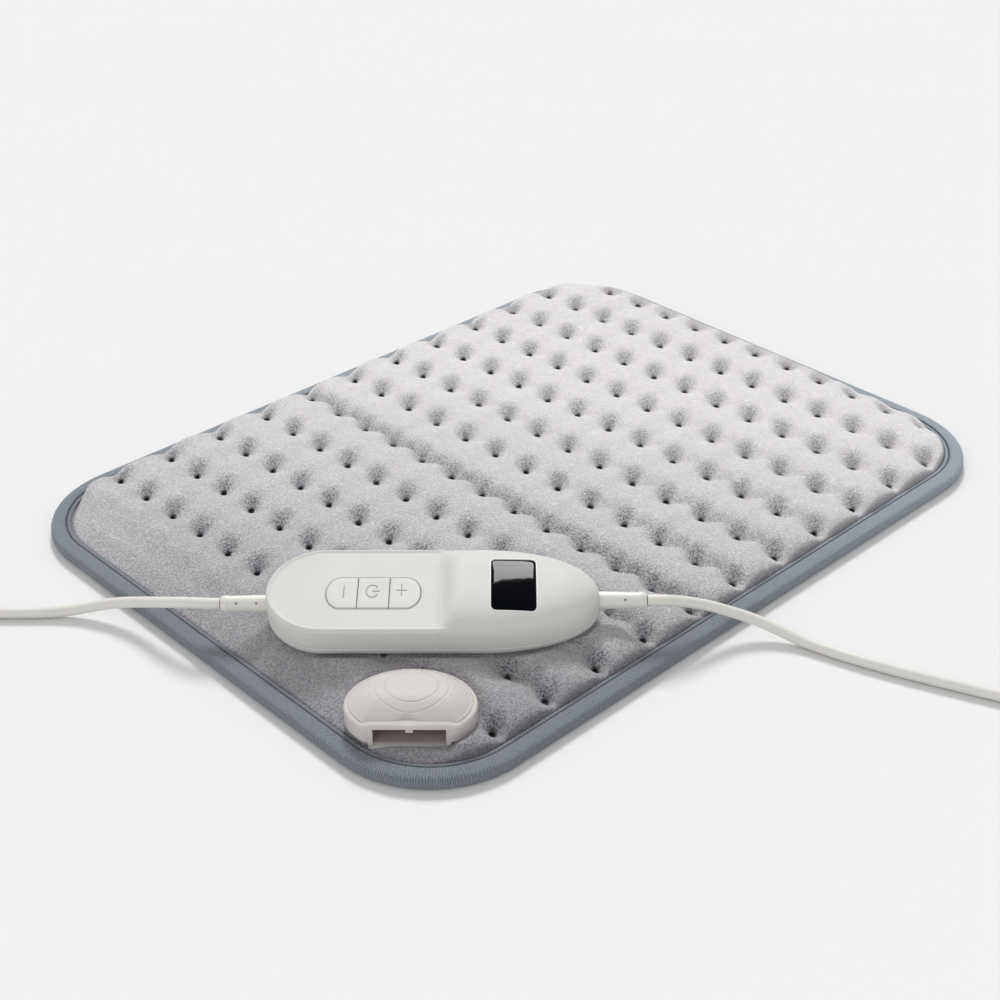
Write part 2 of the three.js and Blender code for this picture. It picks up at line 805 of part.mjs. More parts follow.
const inletTopLevels = [
  { inset: 0, height: inletBottom },
  { inset: 0, height: inletRimHeight - inletEdge },
  { inset: inletEdge / 2, height: inletRimHeight - inletEdge / 4 },
  { inset: inletEdge * 2, height: inletRimHeight + inletEdge / 2 },
];

/** The dome over the housing, as rings that close in on its middle. */
function inletDome(inset, drop) {
  const rings = inletTopLevels.map((level) => ringAt(inletOutline(level.inset + inset), level.height - drop));
  const rise = inletCrown - inletRimHeight - inletEdge / 2;
  for (const share of [0.35, 0.6, 0.8, 0.94]) {
    const drawn = inletEdge * 2 + (inletFrontReach - inset - inletEdge * 2) * share;
    rings.push(ringAt(inletOutline(Math.min(drawn + inset, inletFrontReach - inletEdge / 4)),
      inletRimHeight + inletEdge / 2 + rise * (1 - (1 - share) ** 2) - drop));
  }
  return rings;
}

function makeInletTop() {
  const outside = loft(inletDome(0, 0));
  const insideRings = inletDome(inletWall, inletWall);
  insideRings[0].forEach((p) => { p.z = inletBottom - cutOverrun; });
  const inside = loft(insideRings);
  const half = inletBlockHalf;
  const housingBlock = block(-half, half, -inletFace, 0, inletBlockBottom, inletBlockTop);
  const blockInside = block(
    -half + inletBlockWall, half - inletBlockWall, -inletFace + inletWall, 0,
    inletBlockBottom - cutOverrun, inletBlockTop - inletWall,
  );
  const mouth = block(
    -mouthWidth / 2, mouthWidth / 2, -inletFace - cutOverrun, -inletFace + inletWall + cutOverrun,
    mouthFloor - cutOverrun, mouthFloor + mouthHeight,
  );
  const mouthTop = mouthFloor + mouthHeight;
  const key = block(
    -mouthKeyWidth / 2, mouthKeyWidth / 2, -inletFace, -inletFace + mouthKeyLength,
    mouthTop - mouthKeyDrop, inletBlockTop - inletWall / 2,
  );
  const underBlock = block(
    -half - cutOverrun, half + cutOverrun, 0, inletBackReach, inletBottom - cutOverrun * 2, inletBottom,
  );
  const bosses = inletScrews().map(({ a }) => bar(
    a, inletScrewPlace, inletBottom, inletCrown - inletWall * 2, screwShankRadius + seatGap + bossWall,
  ));
  const bores = inletScrews().map(({ a }) => bar(
    a, inletScrewPlace, inletBottom - cutOverrun, inletScrewReach + seatGap, screwShankRadius + seatGap,
  ));
  const shell = cut(join(outside, housingBlock), inside, blockInside, mouth, underBlock);
  return cut(join(shell, key, ...bosses), ...bores);
}

/** Where the housing's two screws stand. */
function inletScrews() {
  return [{ name: 'inlet_screw_left', a: -inletScrewSpread }, { name: 'inlet_screw_right', a: inletScrewSpread }];
}

const neckTop = socketLow - seatGap;
const flangeTop = wireLow + inletFlangeThickness;

function makeInletBase() {
  const flange = prism(inletOutline(-inletFlange, inletFrontReach), wireLow, flangeTop);
  const neck = prism(inletOutline(inletNeckInset), flangeTop - inletFlangeThickness / 2, neckTop);
  const half = inletBlockHalf - seatGap;
  const front = block(-half, half, -inletFace + seatGap, 0, flangeTop - inletFlangeThickness / 2, neckTop);
  const posts = inletScrews().map(({ a }) => bar(
    a, inletScrewPlace, wireLow, inletBottom - seatGap, screwShankRadius + seatGap + bossWall,
  ));
  const bores = inletScrews().flatMap(({ a }) => [
    bar(a, inletScrewPlace, wireLow - cutOverrun, inletBottom, screwShankRadius + seatGap),
    bar(a, inletScrewPlace, wireLow - cutOverrun, wireLow + screwSink + screwHeadHeight + seatGap,
      screwHeadRadius + seatGap),
  ]);
  return cut(join(flange, neck, front, ...posts), ...bores);
}

const socketHalf = inletBlockHalf - inletBlockWall - seatGap;
const socketFront = -inletFace + inletWall + seatGap;
const socketMouthBack = -inletFace + mouthDepth;
const socketTop = mouthFloor + mouthHeight + socketWall - seatGap;

/** Places of the contact pins across the mouth. */
function pinPlaces() {
  return Array.from({ length: pinCount }, (_, i) => (i - (pinCount - 1) / 2) * pinPitch);
}

function makeSocket() {
  const body = block(-socketHalf, socketHalf, socketFront, socketMouthBack + socketBack, socketLow, socketTop);
  const hollow = block(
    -mouthWidth / 2, mouthWidth / 2, socketFront - cutOverrun, socketMouthBack,
    mouthFloor, mouthFloor + mouthHeight - seatGap,
  );
  const keyRoom = block(
    -mouthKeyWidth / 2 - seatGap, mouthKeyWidth / 2 + seatGap, socketFront - cutOverrun,
    -inletFace + mouthKeyLength + seatGap, mouthFloor, socketTop + cutOverrun,
  );
  const bores = pinPlaces().map((a) => barAlongY(
    socketMouthBack - cutOverrun, socketMouthBack + socketBack + cutOverrun, a,
    mouthFloor + mouthHeight / 2, pinRadius + seatGap,
  ));
  return cut(body, hollow, keyRoom, ...bores);
}

piece('inlet_top_shell', makeInletTop(), 'casing', inlet);
piece('inlet_base', makeInletBase(), 'casing', inlet);
piece('socket_insert', makeSocket(), 'socket', inlet);
pinPlaces().forEach((a, i) => piece(`contact_pin_${i + 1}`, barAlongY(
  socketMouthBack - pinReach, socketMouthBack + socketBack + pinTail, a,
  mouthFloor + mouthHeight / 2, pinRadius, 12,
), 'brass', inlet));
const cutoutFront = socketMouthBack + socketBack + pinTail + seatGap;
piece('thermal_cutout', block(
  -cutoutLength / 2, cutoutLength / 2, cutoutFront, cutoutFront + cutoutDepth,
  neckTop + seatGap, neckTop + seatGap + cutoutHeight,
), 'dark', inlet);
for (const { name, a } of inletScrews()) {
  const head = bar(a, inletScrewPlace, wireLow + screwSink, wireLow + screwSink + screwHeadHeight, screwHeadRadius);
  const shank = bar(a, inletScrewPlace, wireLow + screwSink, inletScrewReach, screwShankRadius);
  piece(name, join(head, shank), 'steel', inlet);
}

// The controller's casing

const domeRingShares = [0.24, 0.47, 0.7, 0.96];
const half = controllerWidth / 2;
const topInsets = [
  0.15 * panelRim, 0.45 * panelRim, panelRim, 2 * panelRim,
  ...domeRingShares.map((share) => share * half),
];

/** Where the shell's screws stand. */
function shellScrews() {
  return shellScrewPlaces.map(({ uShare, vShare }) => ({
    u: uShare * controllerLength, v: vShare * controllerWidth,
  }));
}

/** The outline of the three keys together, drawn in by an inset. */
function keypadOutline(inset) {
  const endReach = keypadEnd - inset;
  const centre = keypadLength / 2 - keypadEnd;
  const steps = 10;
  const points = [];
  for (const side of [1, -1]) {
    for (let step = 0; step <= steps; step += 1) {
      const angle = -quarterTurn + (Math.PI * step) / steps;
      points.push(new THREE.Vector2(
        keypadCentre + side * (centre + endReach * Math.cos(angle)),
        keypadShift + side * (keypadWidth / 2 - inset) * Math.sin(angle),
      ));
    }
  }
  return points;
}

/** The display window's outline, drawn in by an inset. */
function windowOutline(inset) {
  return roundedOutline(windowLength, windowWidth, windowCorner, inset, 3)
    .map((p) => new THREE.Vector2(p.x + windowCentre, p.y + windowShift));
}

function makeTopShell() {
  const innermost = half * 0.975;
  const outer = topInsets.map((inset) => ringAt(controllerOutline(inset), (p) => controllerTop(p.x, inset)));
  const inner = topInsets.map((inset) => ringAt(
    controllerOutline(Math.min(inset + controllerWall, innermost)),
    (p) => controllerTop(p.x, inset) - controllerWall,
  ));
  const shell = loft([
    ...inner.reverse(),
    ringAt(controllerOutline(controllerWall), partingHeight + seatGap),
    ringAt(controllerOutline(0), partingHeight + seatGap),
    ...outer,
  ]);
  const bosses = shellScrews().map(({ u, v }) => {
    const under = controllerTop(u, controllerInset(u, v)) - controllerWall;
    return bar(u, v, partingHeight + seatGap, under + controllerWall / 2, screwShankRadius + seatGap + bossWall);
  });
  const bores = shellScrews().map(({ u, v }) => bar(
    u, v, partingHeight - cutOverrun, screwReach + seatGap, screwShankRadius + seatGap,
  ));
  const keypad = prism(keypadOutline(0), controllerHeight - controllerWall - cutOverrun, domeHeight);
  const opening = prism(windowOutline(0), partingHeight + cutOverrun, domeHeight + cutOverrun);
  return cut(join(shell, ...bosses), ...bores, keypad, opening, ...reliefHoles());
}

/** The round holes for the two strain reliefs, one in each end of the casing. */
function reliefHoles() {
  const end = controllerLength / 2;
  return [
    barAlongX(-end - cutOverrun, -end + reliefInside.left, 0, reliefAxis.left, reliefRadius + seatGap),
    barAlongX(end - reliefInside.right, end + cutOverrun, 0, reliefAxis.right, reliefRadius + seatGap),
  ];
}

function makeBottomShell() {
  const roundSteps = 3;
  const rings = [];
  for (let step = 0; step <= roundSteps; step += 1) {
    const angle = (quarterTurn * step) / roundSteps;
    rings.push(ringAt(
      controllerOutline(undersideRound * (1 - Math.sin(angle))), undersideRound * (1 - Math.cos(angle)),
    ));
  }
  rings.push(
    ringAt(controllerOutline(0), partingHeight),
    ringAt(controllerOutline(controllerWall), partingHeight),
    ringAt(controllerOutline(controllerWall + undersideRound / 4), undersideRound / 2),
    ringAt(controllerOutline(controllerWall + undersideRound * 0.7), controllerWall),
  );
  const tray = loft(rings);
  const posts = boardPosts().map(({ u, v }) => bar(
    u, v, controllerWall / 2, boardLift - seatGap, boardPostRadius,
  ));
  const screwPosts = shellScrews().map(({ u, v }) => bar(
    u, v, controllerWall / 2, partingHeight, screwHeadRadius + seatGap + bossWall / 2,
  ));
  const bores = shellScrews().flatMap(({ u, v }) => [
    bar(u, v, -cutOverrun, partingHeight + cutOverrun, screwShankRadius + seatGap),
    bar(u, v, -cutOverrun, screwSink + screwHeadHeight + seatGap, screwHeadRadius + seatGap),
  ]);
  return cut(join(tray, ...posts, ...screwPosts), ...bores, ...reliefHoles());
}

/** Where the posts that carry the circuit board stand. */
function boardPosts() {
  const inboard = 2 * boardPostRadius;
  const across = boardWidth / 2 - inboard;
  return [boardFrom + inboard, boardTo - inboard].flatMap((u) => [{ u, v: across }, { u, v: -across }]);
}

piece('controller_top_shell', makeTopShell(), 'casing', controller);
piece('controller_bottom_shell', makeBottomShell(), 'casing', controller);

shellScrews().forEach(({ u, v }, i) => {
  const head = bar(u, v, screwSink, screwSink + screwHeadHeight, screwHeadRadius);
  const shank = bar(u, v, screwSink, screwReach, screwShankRadius);
  piece(`shell_screw_${i + 1}`, join(head, shank), 'steel', controller);
});

// The display window, curved to follow the domed end

function makeWindow() {
  const shares = [0, 0.3, 0.62, 0.96];
  const fit = (share) => windowOutline(seatGap + (windowLength / 2 - seatGap) * share);
  const topAt = (p) => controllerTop(p.x, controllerInset(p.x, p.y)) - windowRecess;
  const underAt = (p) => topAt(p) - windowThickness;
  return loft([
    ...[...shares].reverse().map((share) => ringAt(fit(share), underAt)),
    ...shares.map((share) => ringAt(fit(share), topAt)),
  ]);
}
piece('display_window', makeWindow(), 'window', controller);

// The circuit board and what stands on it

const boardTop = boardLift + boardThickness;
const partLow = boardTop + seatGap;
piece('circuit_board', block(
  boardFrom, boardTo, -boardWidth / 2, boardWidth / 2, boardLift, boardTop,
), 'board', controller);
piece('display_module', block(
  windowCentre - displayLength / 2, windowCentre + displayLength / 2,
  windowShift - displayWidth / 2, windowShift + displayWidth / 2, partLow, partLow + displayHeight,
), 'dark', controller);
const relayFrom = keypadCentre + keypadLength / 2 + 2 * keyFlange;
piece('relay', block(
  relayFrom, relayFrom + relayLength, -relayWidth / 2, relayWidth / 2, partLow, partLow + relayHeight,
), 'blue', controller);
const besideRelay = relayWidth / 2 + capacitorRadius + keyFlange;
piece('filter_capacitor', barAlongX(
  relayFrom, relayFrom + capacitorLength, besideRelay, partLow + capacitorRadius, capacitorRadius,
), 'dark', controller);
piece('board_fuse', barAlongX(
  relayFrom, relayFrom + fuseLength, -besideRelay, partLow + fuseRadius, fuseRadius,
), 'steel', controller);

// The three keys and the switches under them

const keyNames = ['minus', 'power', 'plus'];
const keyPitch = keypadLength / keyNames.length;
const shellUnderside = controllerHeight - panelRecess - controllerWall;
const flangeHigh = shellUnderside - seatGap;
const keyTopHeight = controllerHeight - panelRecess + keyProud;
const switchTop = partLow + switchHeight;

/** The slice of an outline that belongs to one key, as a prism. */
function keySlice(inset, index, low, high) {
  const from = keypadCentre - keypadLength / 2 + index * keyPitch;
  const first = index === 0 ? from - keypadLength : from + seatGap / 2;
  const last = index === keyNames.length - 1 ? from + keyPitch + keypadLength : from + keyPitch - seatGap / 2;
  const slab = block(first, last, -keypadWidth, keypadWidth, low - cutOverrun, high + cutOverrun);
  return toGeometry(toSolid(prism(keypadOutline(inset), low, high)).intersect(toSolid(slab)));
}

keyNames.forEach((name, index) => {
  const u = keypadCentre + (index - (keyNames.length - 1) / 2) * keyPitch;
  const cap = keySlice(seatGap, index, flangeHigh - keyFlangeThickness, keyTopHeight);
  const flange = keySlice(-keyFlange, index, flangeHigh - keyFlangeThickness, flangeHigh);
  const stem = bar(u, keypadShift, switchTop - keyStemEngaged, flangeHigh - keyFlangeThickness / 2, keyStemRadius, 12);
  piece(`button_${name}`, join(cap, flange, stem), 'keys', controller);

  const body = block(
    u - switchSize / 2, u + switchSize / 2,
    keypadShift - switchSize / 2, keypadShift + switchSize / 2, partLow, switchTop,
  );
  const well = bar(u, keypadShift, switchTop - switchWell, switchTop + cutOverrun, keyStemRadius + seatGap, 12);
  piece(`tact_switch_${name}`, cut(body, well), 'dark', controller);
});
console.log('key room below the stem', (switchWell - keyStemEngaged - keyTravel).toFixed(2), 'mm');

// The strain reliefs at the two ends of the casing

for (const side of ['left', 'right']) {
  const end = controllerLength / 2;
  const inside = end - reliefInside[side];
  const collar = reliefRadius + reliefCollar;
  const profile = [
    [inside - reliefCollarLength, collar],
    [inside, collar],
    [inside, reliefRadius],
    [end + reliefLength - reliefTipRound, reliefRadius],
    [end + reliefLength, reliefRadius - reliefTipRound],
  ];
  const relief = turnedAlongX(profile);
  if (side === 'left') relief.rotateZ(Math.PI);
  relief.translate(0, 0, reliefAxis[side]);
  piece(`strain_relief_${side}`, relief, 'cord', controller);
}

// The cords

/** A round cord along chosen points. */
function makeCord(route) {
  const curve = new THREE.CatmullRomCurve3(route.map(([x, y, z]) => new THREE.Vector3(x, y, z)), false, 'centripetal');
  const section = new THREE.Shape(Array.from({ length: cordSides }, (_, k) => {
    const angle = (fullTurn * k) / cordSides;
    return new THREE.Vector2(Math.cos(angle), Math.sin(angle)).multiplyScalar(cordDiameter / 2);
  }));
  return new THREE.ExtrudeGeometry(section, { steps: cordSteps, extrudePath: curve });
}

/**
 * Points of a coil that starts at a route's end, on its top layer, in the route's last
 * direction.  It winds round at a steady rate, in and out again, and goes down a layer
 * in the half turn where the spiral reverses.
 */
function coilPoints(route, coil, handed) {
  const end = new THREE.Vector3(...route[route.length - 1]);
  const before = new THREE.Vector3(...route[route.length - 2]);
  const heading = Math.atan2(end.y - before.y, end.x - before.x);
  const perLayer = coil.turns / coil.layers;
  const swing = (perLayer * turnSpacing) / 2;
  const radiusAt = (turn) => {
    const phase = turn / perLayer;
    const fraction = phase % 2 <= 1 ? phase % 2 : 2 - (phase % 2);
    return coil.meanRadius + swing - 2 * swing * fraction;
  };
  const startAngle = heading - handed * quarterTurn;
  const startRadius = radiusAt(0);
  const centre = new THREE.Vector3(
    end.x - startRadius * Math.cos(startAngle), end.y - startRadius * Math.sin(startAngle), 0,
  );
  const floor = cordDiameter / 2 + seatGap / 3;
  const layerDrop = (turn) => {
    let layer = 0;
    for (let k = 1; k < coil.layers; k += 1) layer += ease((turn - k * perLayer) * 2 + 1 / 2);
    return layer;
  };
  const points = [];
  const total = Math.round(coil.turns * coilSteps);
  for (let step = 0; step <= total; step += 1) {
    const turn = step / coilSteps;
    const angle = startAngle + handed * fullTurn * turn;
    const radius = radiusAt(turn);
    points.push(new THREE.Vector3(
      centre.x + radius * Math.cos(angle),
      centre.y + radius * Math.sin(angle),
      floor + (coil.layers - 1 - layerDrop(turn)) * layerSpacing,
    ));
  }
  const straight = cordDiameter;
  const first = points[0].clone();
  const firstWay = new THREE.Vector3(Math.cos(heading), Math.sin(heading), 0);
  points.unshift(first.clone());
  points.forEach((p, i) => { if (i > 0) p.addScaledVector(firstWay, straight); });
  points[0].addScaledVector(firstWay, seatGap);
  const lastAngle = startAngle + handed * (fullTurn * coil.turns + quarterTurn);
  const lastWay = new THREE.Vector3(Math.cos(lastAngle), Math.sin(lastAngle), 0);
  points.push(points[points.length - 1].clone().addScaledVector(lastWay, straight));
  return { points, lastWay, centre: centre.addScaledVector(firstWay, straight) };
}

/** The least gap between stretches of a coil that lie a quarter turn or more apart. */
function leastGap(points) {
  let least = Infinity;
  for (let i = 0; i < points.length; i += 1) {
    for (let j = i + coilSteps / 4; j < points.length; j += 1) {
      const fromPoint = new THREE.Line3(points[j - 1], points[j]);
      const nearest = fromPoint.closestPointToPoint(points[i], true, new THREE.Vector3());
      least = Math.min(least, nearest.distanceTo(points[i]) - cordDiameter);
    }
  }
  return least;
}

/** The length of a line through points. */
function lengthOf(points) {
  return points.reduce((sum, p, i) => (i === 0 ? 0 : sum + p.distanceTo(points[i - 1])), 0);
}

/** A frame at a cord's end: X along the cord's last direction. */
function frameAt(point, way) {
  const group = new THREE.Group();
  group.position.copy(point);
  group.rotation.z = Math.atan2(way.y, way.x);
  model.add(group);
  return group;
}

function addCord(name, end, offsets, coil, handed) {
  const side = end === 'left' ? -1 : 1;
  const reach = controllerLength / 2 + reliefLength;
  const tip = controller.localToWorld(new THREE.Vector3(side * reach, 0, reliefAxis[end]));
  const route = offsets.map(([x, y, z]) => [tip.x + x, tip.y + y, z]);
  piece(name, makeCord(route), 'cord');
  const wound = coilPoints(route, coil, handed);
  piece(`${name}_coil`, tube(wound.points, cordDiameter / 2, coilSides), 'cord');
  const straightPart = new THREE.CatmullRomCurve3(
    route.map(([x, y, z]) => new THREE.Vector3(x, y, z)), false, 'centripetal',
  ).getLength();
  console.log(name, 'run', straightPart.toFixed(1), 'coil', lengthOf(wound.points).toFixed(1),
    'least gap', leastGap(wound.points).toFixed(2), 'coil centre', wound.centre.x.toFixed(1), wound.centre.y.toFixed(1));
  return frameAt(wound.points[wound.points.length - 1], wound.lastWay);
}

// The mains plug

/** The strain relief behind a plug: it widens towards the plug and lies on the table. */
function makePlugRelief() {
  const thin = cordDiameter / 2 + reliefCollar / 2;
  const end = plugReliefLength + plugTail / 2;
  const relief = turnedAlongX([[seatGap, thin], [end, plugReliefRadius]], 12);
  const place = relief.getAttribute('position');
  for (let i = 0; i < place.count; i += 1) {
    const share = (place.getX(i) - seatGap) / (end - seatGap);
    place.setZ(i, place.getZ(i) + THREE.MathUtils.lerp(thin, plugReliefRadius, share) - cordDiameter * 0.47);
  }
  return relief;
}

/** An upright ring with its underside on the table, across the end of a cord. */
function plugSection(along, width, thickness, radius, cornerSteps) {
  return roundedOutline(width, thickness, radius, 0, cornerSteps)
    .map((p) => new THREE.Vector3(along, p.x, p.y + (thickness - cordDiameter) / 2));
}

function plugRings() {
  const section = (along, width, thickness) => plugSection(along, width, thickness, thickness / 2.4, 4);
  const from = plugReliefLength;
  return [
    section(from, plugReliefRadius * 2.6, plugReliefRadius * 2.2),
    section(from + plugTail, plugWidth * 0.86, plugThickness * 0.94),
    section(from + plugLength * 0.6, plugWidth, plugThickness),
    section(from + plugLength, plugWidth, plugThickness),
  ];
}

/** A solid through upright rings set one after another along X. */
function loftAlongX(rings) {
  const count = rings[0].length;
  const positions = rings.flat().flatMap((p) => [p.x, p.y, p.z]);
  const index = [];
  for (let band = 0; band + 1 < rings.length; band += 1) {
    for (let i = 0; i < count; i += 1) {
      const next = (i + 1) % count;
      const [a, b] = [band * count + i, band * count + next];
      index.push(a, b, b + count, a, b + count, a + count);
    }
  }
  const flat = rings[0].map((p) => new THREE.Vector2(p.y, p.z));
  const last = (rings.length - 1) * count;
  for (const [a, b, c] of THREE.ShapeUtils.triangulateShape(flat, [])) {
    index.push(c, b, a, last + a, last + b, last + c);
  }
  const geometry = new THREE.BufferGeometry();
  geometry.setAttribute('position', new THREE.Float32BufferAttribute(positions, 3));
  geometry.setIndex(index);
  geometry.computeVertexNormals();
  return geometry;
}

const mainsEnd = addCord('mains_cord', 'left', mainsRoute, mainsCoil, -1);
const plugFace = plugReliefLength + plugLength;
const plugLift = plugThickness / 2 - cordDiameter / 2;
const pinSides = [['plug_pin_left', 1], ['plug_pin_right', -1]];
const pinBores = pinSides.map(([, side]) => barAlongX(
  plugFace - plugPinRoot - seatGap, plugFace + cutOverrun, (side * plugPinSpacing) / 2, plugLift,
  plugPinRadius + seatGap, 16,
));
piece('mains_plug', cut(join(loftAlongX(plugRings()), makePlugRelief()), ...pinBores), 'cord', mainsEnd);
for (const [name, side] of pinSides) {
  piece(name, barAlongX(
    plugFace - plugPinRoot, plugFace + plugPinLength, (side * plugPinSpacing) / 2, plugLift, plugPinRadius, 16,
  ), 'steel', mainsEnd);
}

// The connector that fits the pad's housing

const leadEnd = addCord('pad_lead', 'right', leadRoute, leadCoil, 1);
const connectorLift = connectorGripThickness / 2 - cordDiameter / 2;
const bladeFrom = plugReliefLength + connectorGripLength;
const bladeHalf = mouthWidth / 2 - seatGap;
const bladeThickness = mouthHeight - 3 * seatGap;
function makeConnector() {
  const section = (along, width, thickness) => plugSection(along, width, thickness, thickness / 3, 3);
  const grip = loftAlongX([
    section(plugReliefLength, connectorGripWidth * 0.5, connectorGripThickness * 0.86),
    section(plugReliefLength + plugTail * 0.8, connectorGripWidth * 0.86, connectorGripThickness),
    section(plugReliefLength + connectorGripLength * 0.65, connectorGripWidth, connectorGripThickness),
    section(bladeFrom, connectorGripWidth, connectorGripThickness),
  ]);
  const blade = block(
    bladeFrom - plugPinRoot, bladeFrom + connectorBladeLength, -bladeHalf, bladeHalf,
    connectorLift - bladeThickness / 2, connectorLift + bladeThickness / 2,
  );
  const keyway = block(
    bladeFrom, bladeFrom + connectorBladeLength + cutOverrun,
    -mouthKeyWidth / 2 - seatGap, mouthKeyWidth / 2 + seatGap,
    connectorLift + bladeThickness / 2 - mouthKeyDrop - seatGap, connectorLift + bladeThickness,
  );
  const bores = pinPlaces().map((a) => barAlongX(
    bladeFrom + connectorBladeLength - pinReach * 1.6, bladeFrom + connectorBladeLength + cutOverrun,
    a, connectorLift, pinRadius + seatGap, 12,
  ));
  return cut(join(grip, makePlugRelief(), blade), keyway, ...bores);
}
piece('connector_plug', makeConnector(), 'cord', leadEnd);

export default model;
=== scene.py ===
"""A plush heating pad with its controller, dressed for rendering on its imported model.

Sizes in the classes are in millimetres, as in the part's source, and become metres where a
mesh is made.  Every piece keeps its object at the origin and its place in its mesh.
"""

from __future__ import annotations

import logging
import math
from dataclasses import dataclass, field
from enum import Enum
from typing import Callable, Sequence

import bmesh
import bpy
import numpy as np
from mathutils import Matrix
from mathutils.geometry import tessellate_polygon


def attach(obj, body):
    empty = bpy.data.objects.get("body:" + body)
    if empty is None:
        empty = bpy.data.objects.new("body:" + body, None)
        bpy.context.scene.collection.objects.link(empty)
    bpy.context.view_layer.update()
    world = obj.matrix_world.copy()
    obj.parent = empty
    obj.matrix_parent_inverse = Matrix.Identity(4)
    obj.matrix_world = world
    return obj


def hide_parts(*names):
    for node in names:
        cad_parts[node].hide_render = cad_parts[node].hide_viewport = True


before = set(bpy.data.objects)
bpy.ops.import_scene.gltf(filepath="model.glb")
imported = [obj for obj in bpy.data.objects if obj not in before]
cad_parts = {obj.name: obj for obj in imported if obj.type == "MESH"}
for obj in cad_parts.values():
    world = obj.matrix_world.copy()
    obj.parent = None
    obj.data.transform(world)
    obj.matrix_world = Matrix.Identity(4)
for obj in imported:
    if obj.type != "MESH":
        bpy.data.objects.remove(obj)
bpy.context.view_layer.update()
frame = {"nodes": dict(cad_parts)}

log = logging.getLogger("heating_pad")

# MM turns millimetres into metres, and GAP is the play between pieces.  HALVINGS is the number
# of steps that find an inset, and CONTACTS are the contacts' places across their socket.  ROOT
# is the body that everything but the keys belongs to.
MM = 0.001
GAP = 0.3
HALVINGS = 36
CONTACTS = (-11.1, -3.7, 3.7, 11.1)
ROOT = "pad_and_controller"
Colour = tuple[float, float, float]


# Numbers


def ease(value: np.ndarray | float) -> np.ndarray:
    """Smooth step from 0 to 1 over values 0 to 1: three squares less two cubes."""
    t = np.clip(value, 0.0, 1.0)
    return t * t * (3.0 - 2.0 * t)


def lerp(a: np.ndarray | float, b: np.ndarray | float, share: np.ndarray | float) -> np.ndarray:
    """The value that lies the given share of the way from a to b."""
    return a + (b - a) * share


def bell(distance: np.ndarray, reach: float) -> np.ndarray:
    """A bell that is 1 at no distance and falls to about a third at its reach."""
    return np.exp(-((distance / reach) ** 2))


def unit(vectors: np.ndarray) -> np.ndarray:
    """Vectors with their directions and a length of 1."""
    return vectors / np.linalg.norm(vectors, axis=-1, keepdims=True)


def slopes(height: Callable, x: np.ndarray, y: np.ndarray,
           step: float) -> tuple[np.ndarray, np.ndarray]:
    """How steeply a height rises along x and along y, over a step to either side."""
    return ((height(x + step, y) - height(x - step, y)) / (2 * step),
            (height(x, y + step) - height(x, y - step)) / (2 * step))


def deepest(within: Callable, low: np.ndarray, high: np.ndarray) -> np.ndarray:
    """The greatest inset at which each place is still inside an outline, found by halving.

    Args:
        within: Takes an inset for each place and tells whether it is inside there.
        low: Insets at which the places are inside.
        high: Insets at which they are outside.

    Returns:
        The insets.
    """
    for _ in range(HALVINGS):
        middle = (low + high) / 2
        inside = within(middle)
        low, high = np.where(inside, middle, low), np.where(inside, high, middle)
    return low


def waves(x: np.ndarray, y: np.ndarray, longest: float, seed: int) -> np.ndarray:
    """Gentle unevenness between about -1 and 1: eight sine waves in seeded directions.

    Args:
        x: Places along the pad.
        y: Places across it.
        longest: Length of the longest wave.
        seed: Seed of the directions and phases.

    Returns:
        The sum of the waves at each place, each half as strong as its length asks.
    """
    chance = np.random.default_rng(seed)
    total = np.zeros_like(x)
    for k in range(8):
        way = chance.uniform(0.0, 2.0 * math.pi)
        length = longest / (1.0 + 0.45 * k)
        phase = chance.uniform(0.0, 2.0 * math.pi)
        along = x * math.cos(way) + y * math.sin(way)
        total = total + np.sin(2.0 * math.pi * along / length + phase) / (1.0 + 0.5 * k)
    return total / 2.6


def srgb(red: int, green: int, blue: int) -> Colour:
    """A colour given as it shows on a screen, 0 to 255, as the linear colour a shader takes."""

    def linear(value: int) -> float:
        """One part of the colour as the shader takes it."""
        share = value / 255.0
        return share / 12.92 if share <= 0.04045 else ((share + 0.055) / 1.055) ** 2.4

    return (linear(red), linear(green), linear(blue))


@dataclass(frozen=True)
class Placement:
    """A sub-assembly's own frame: turned about the upright, leant about its length, and set down.

    Attributes:
        x: Place of its origin along the pad.
        y: Place of its origin across the pad.
        z: Height of its origin.
        yaw: Turn about the upright, in degrees.
        lean: Lean about its own length, in degrees.
    """

    x: float = 0.0
    y: float = 0.0
    z: float = 0.0
    yaw: float = 0.0
    lean: float = 0.0

    def turn(self) -> np.ndarray:
        """The turn of this frame as a matrix of three rows."""
        yaw, lean = math.radians(self.yaw), math.radians(self.lean)
        about_z = np.array([
            [math.cos(yaw), -math.sin(yaw), 0.0],
            [math.sin(yaw), math.cos(yaw), 0.0],
            [0.0, 0.0, 1.0],
        ])
        about_x = np.array([
            [1.0, 0.0, 0.0],
            [0.0, math.cos(lean), -math.sin(lean)],
            [0.0, math.sin(lean), math.cos(lean)],
        ])
        return about_z @ about_x

    def out(self, points: np.ndarray) -> np.ndarray:
        """Points of this frame as points of the model."""
        return np.asarray(points, float) @ self.turn().T + np.array([self.x, self.y, self.z])

    def back(self, points: np.ndarray) -> np.ndarray:
        """Points of the model as points of this frame."""
        return (np.asarray(points, float) - np.array([self.x, self.y, self.z])) @ self.turn()


# Meshes


def new_object(name: str, data: bpy.types.ID) -> bpy.types.Object:
    """A new object in the scene."""
    obj = bpy.data.objects.new(name, data)
    bpy.context.scene.collection.objects.link(obj)
    return obj


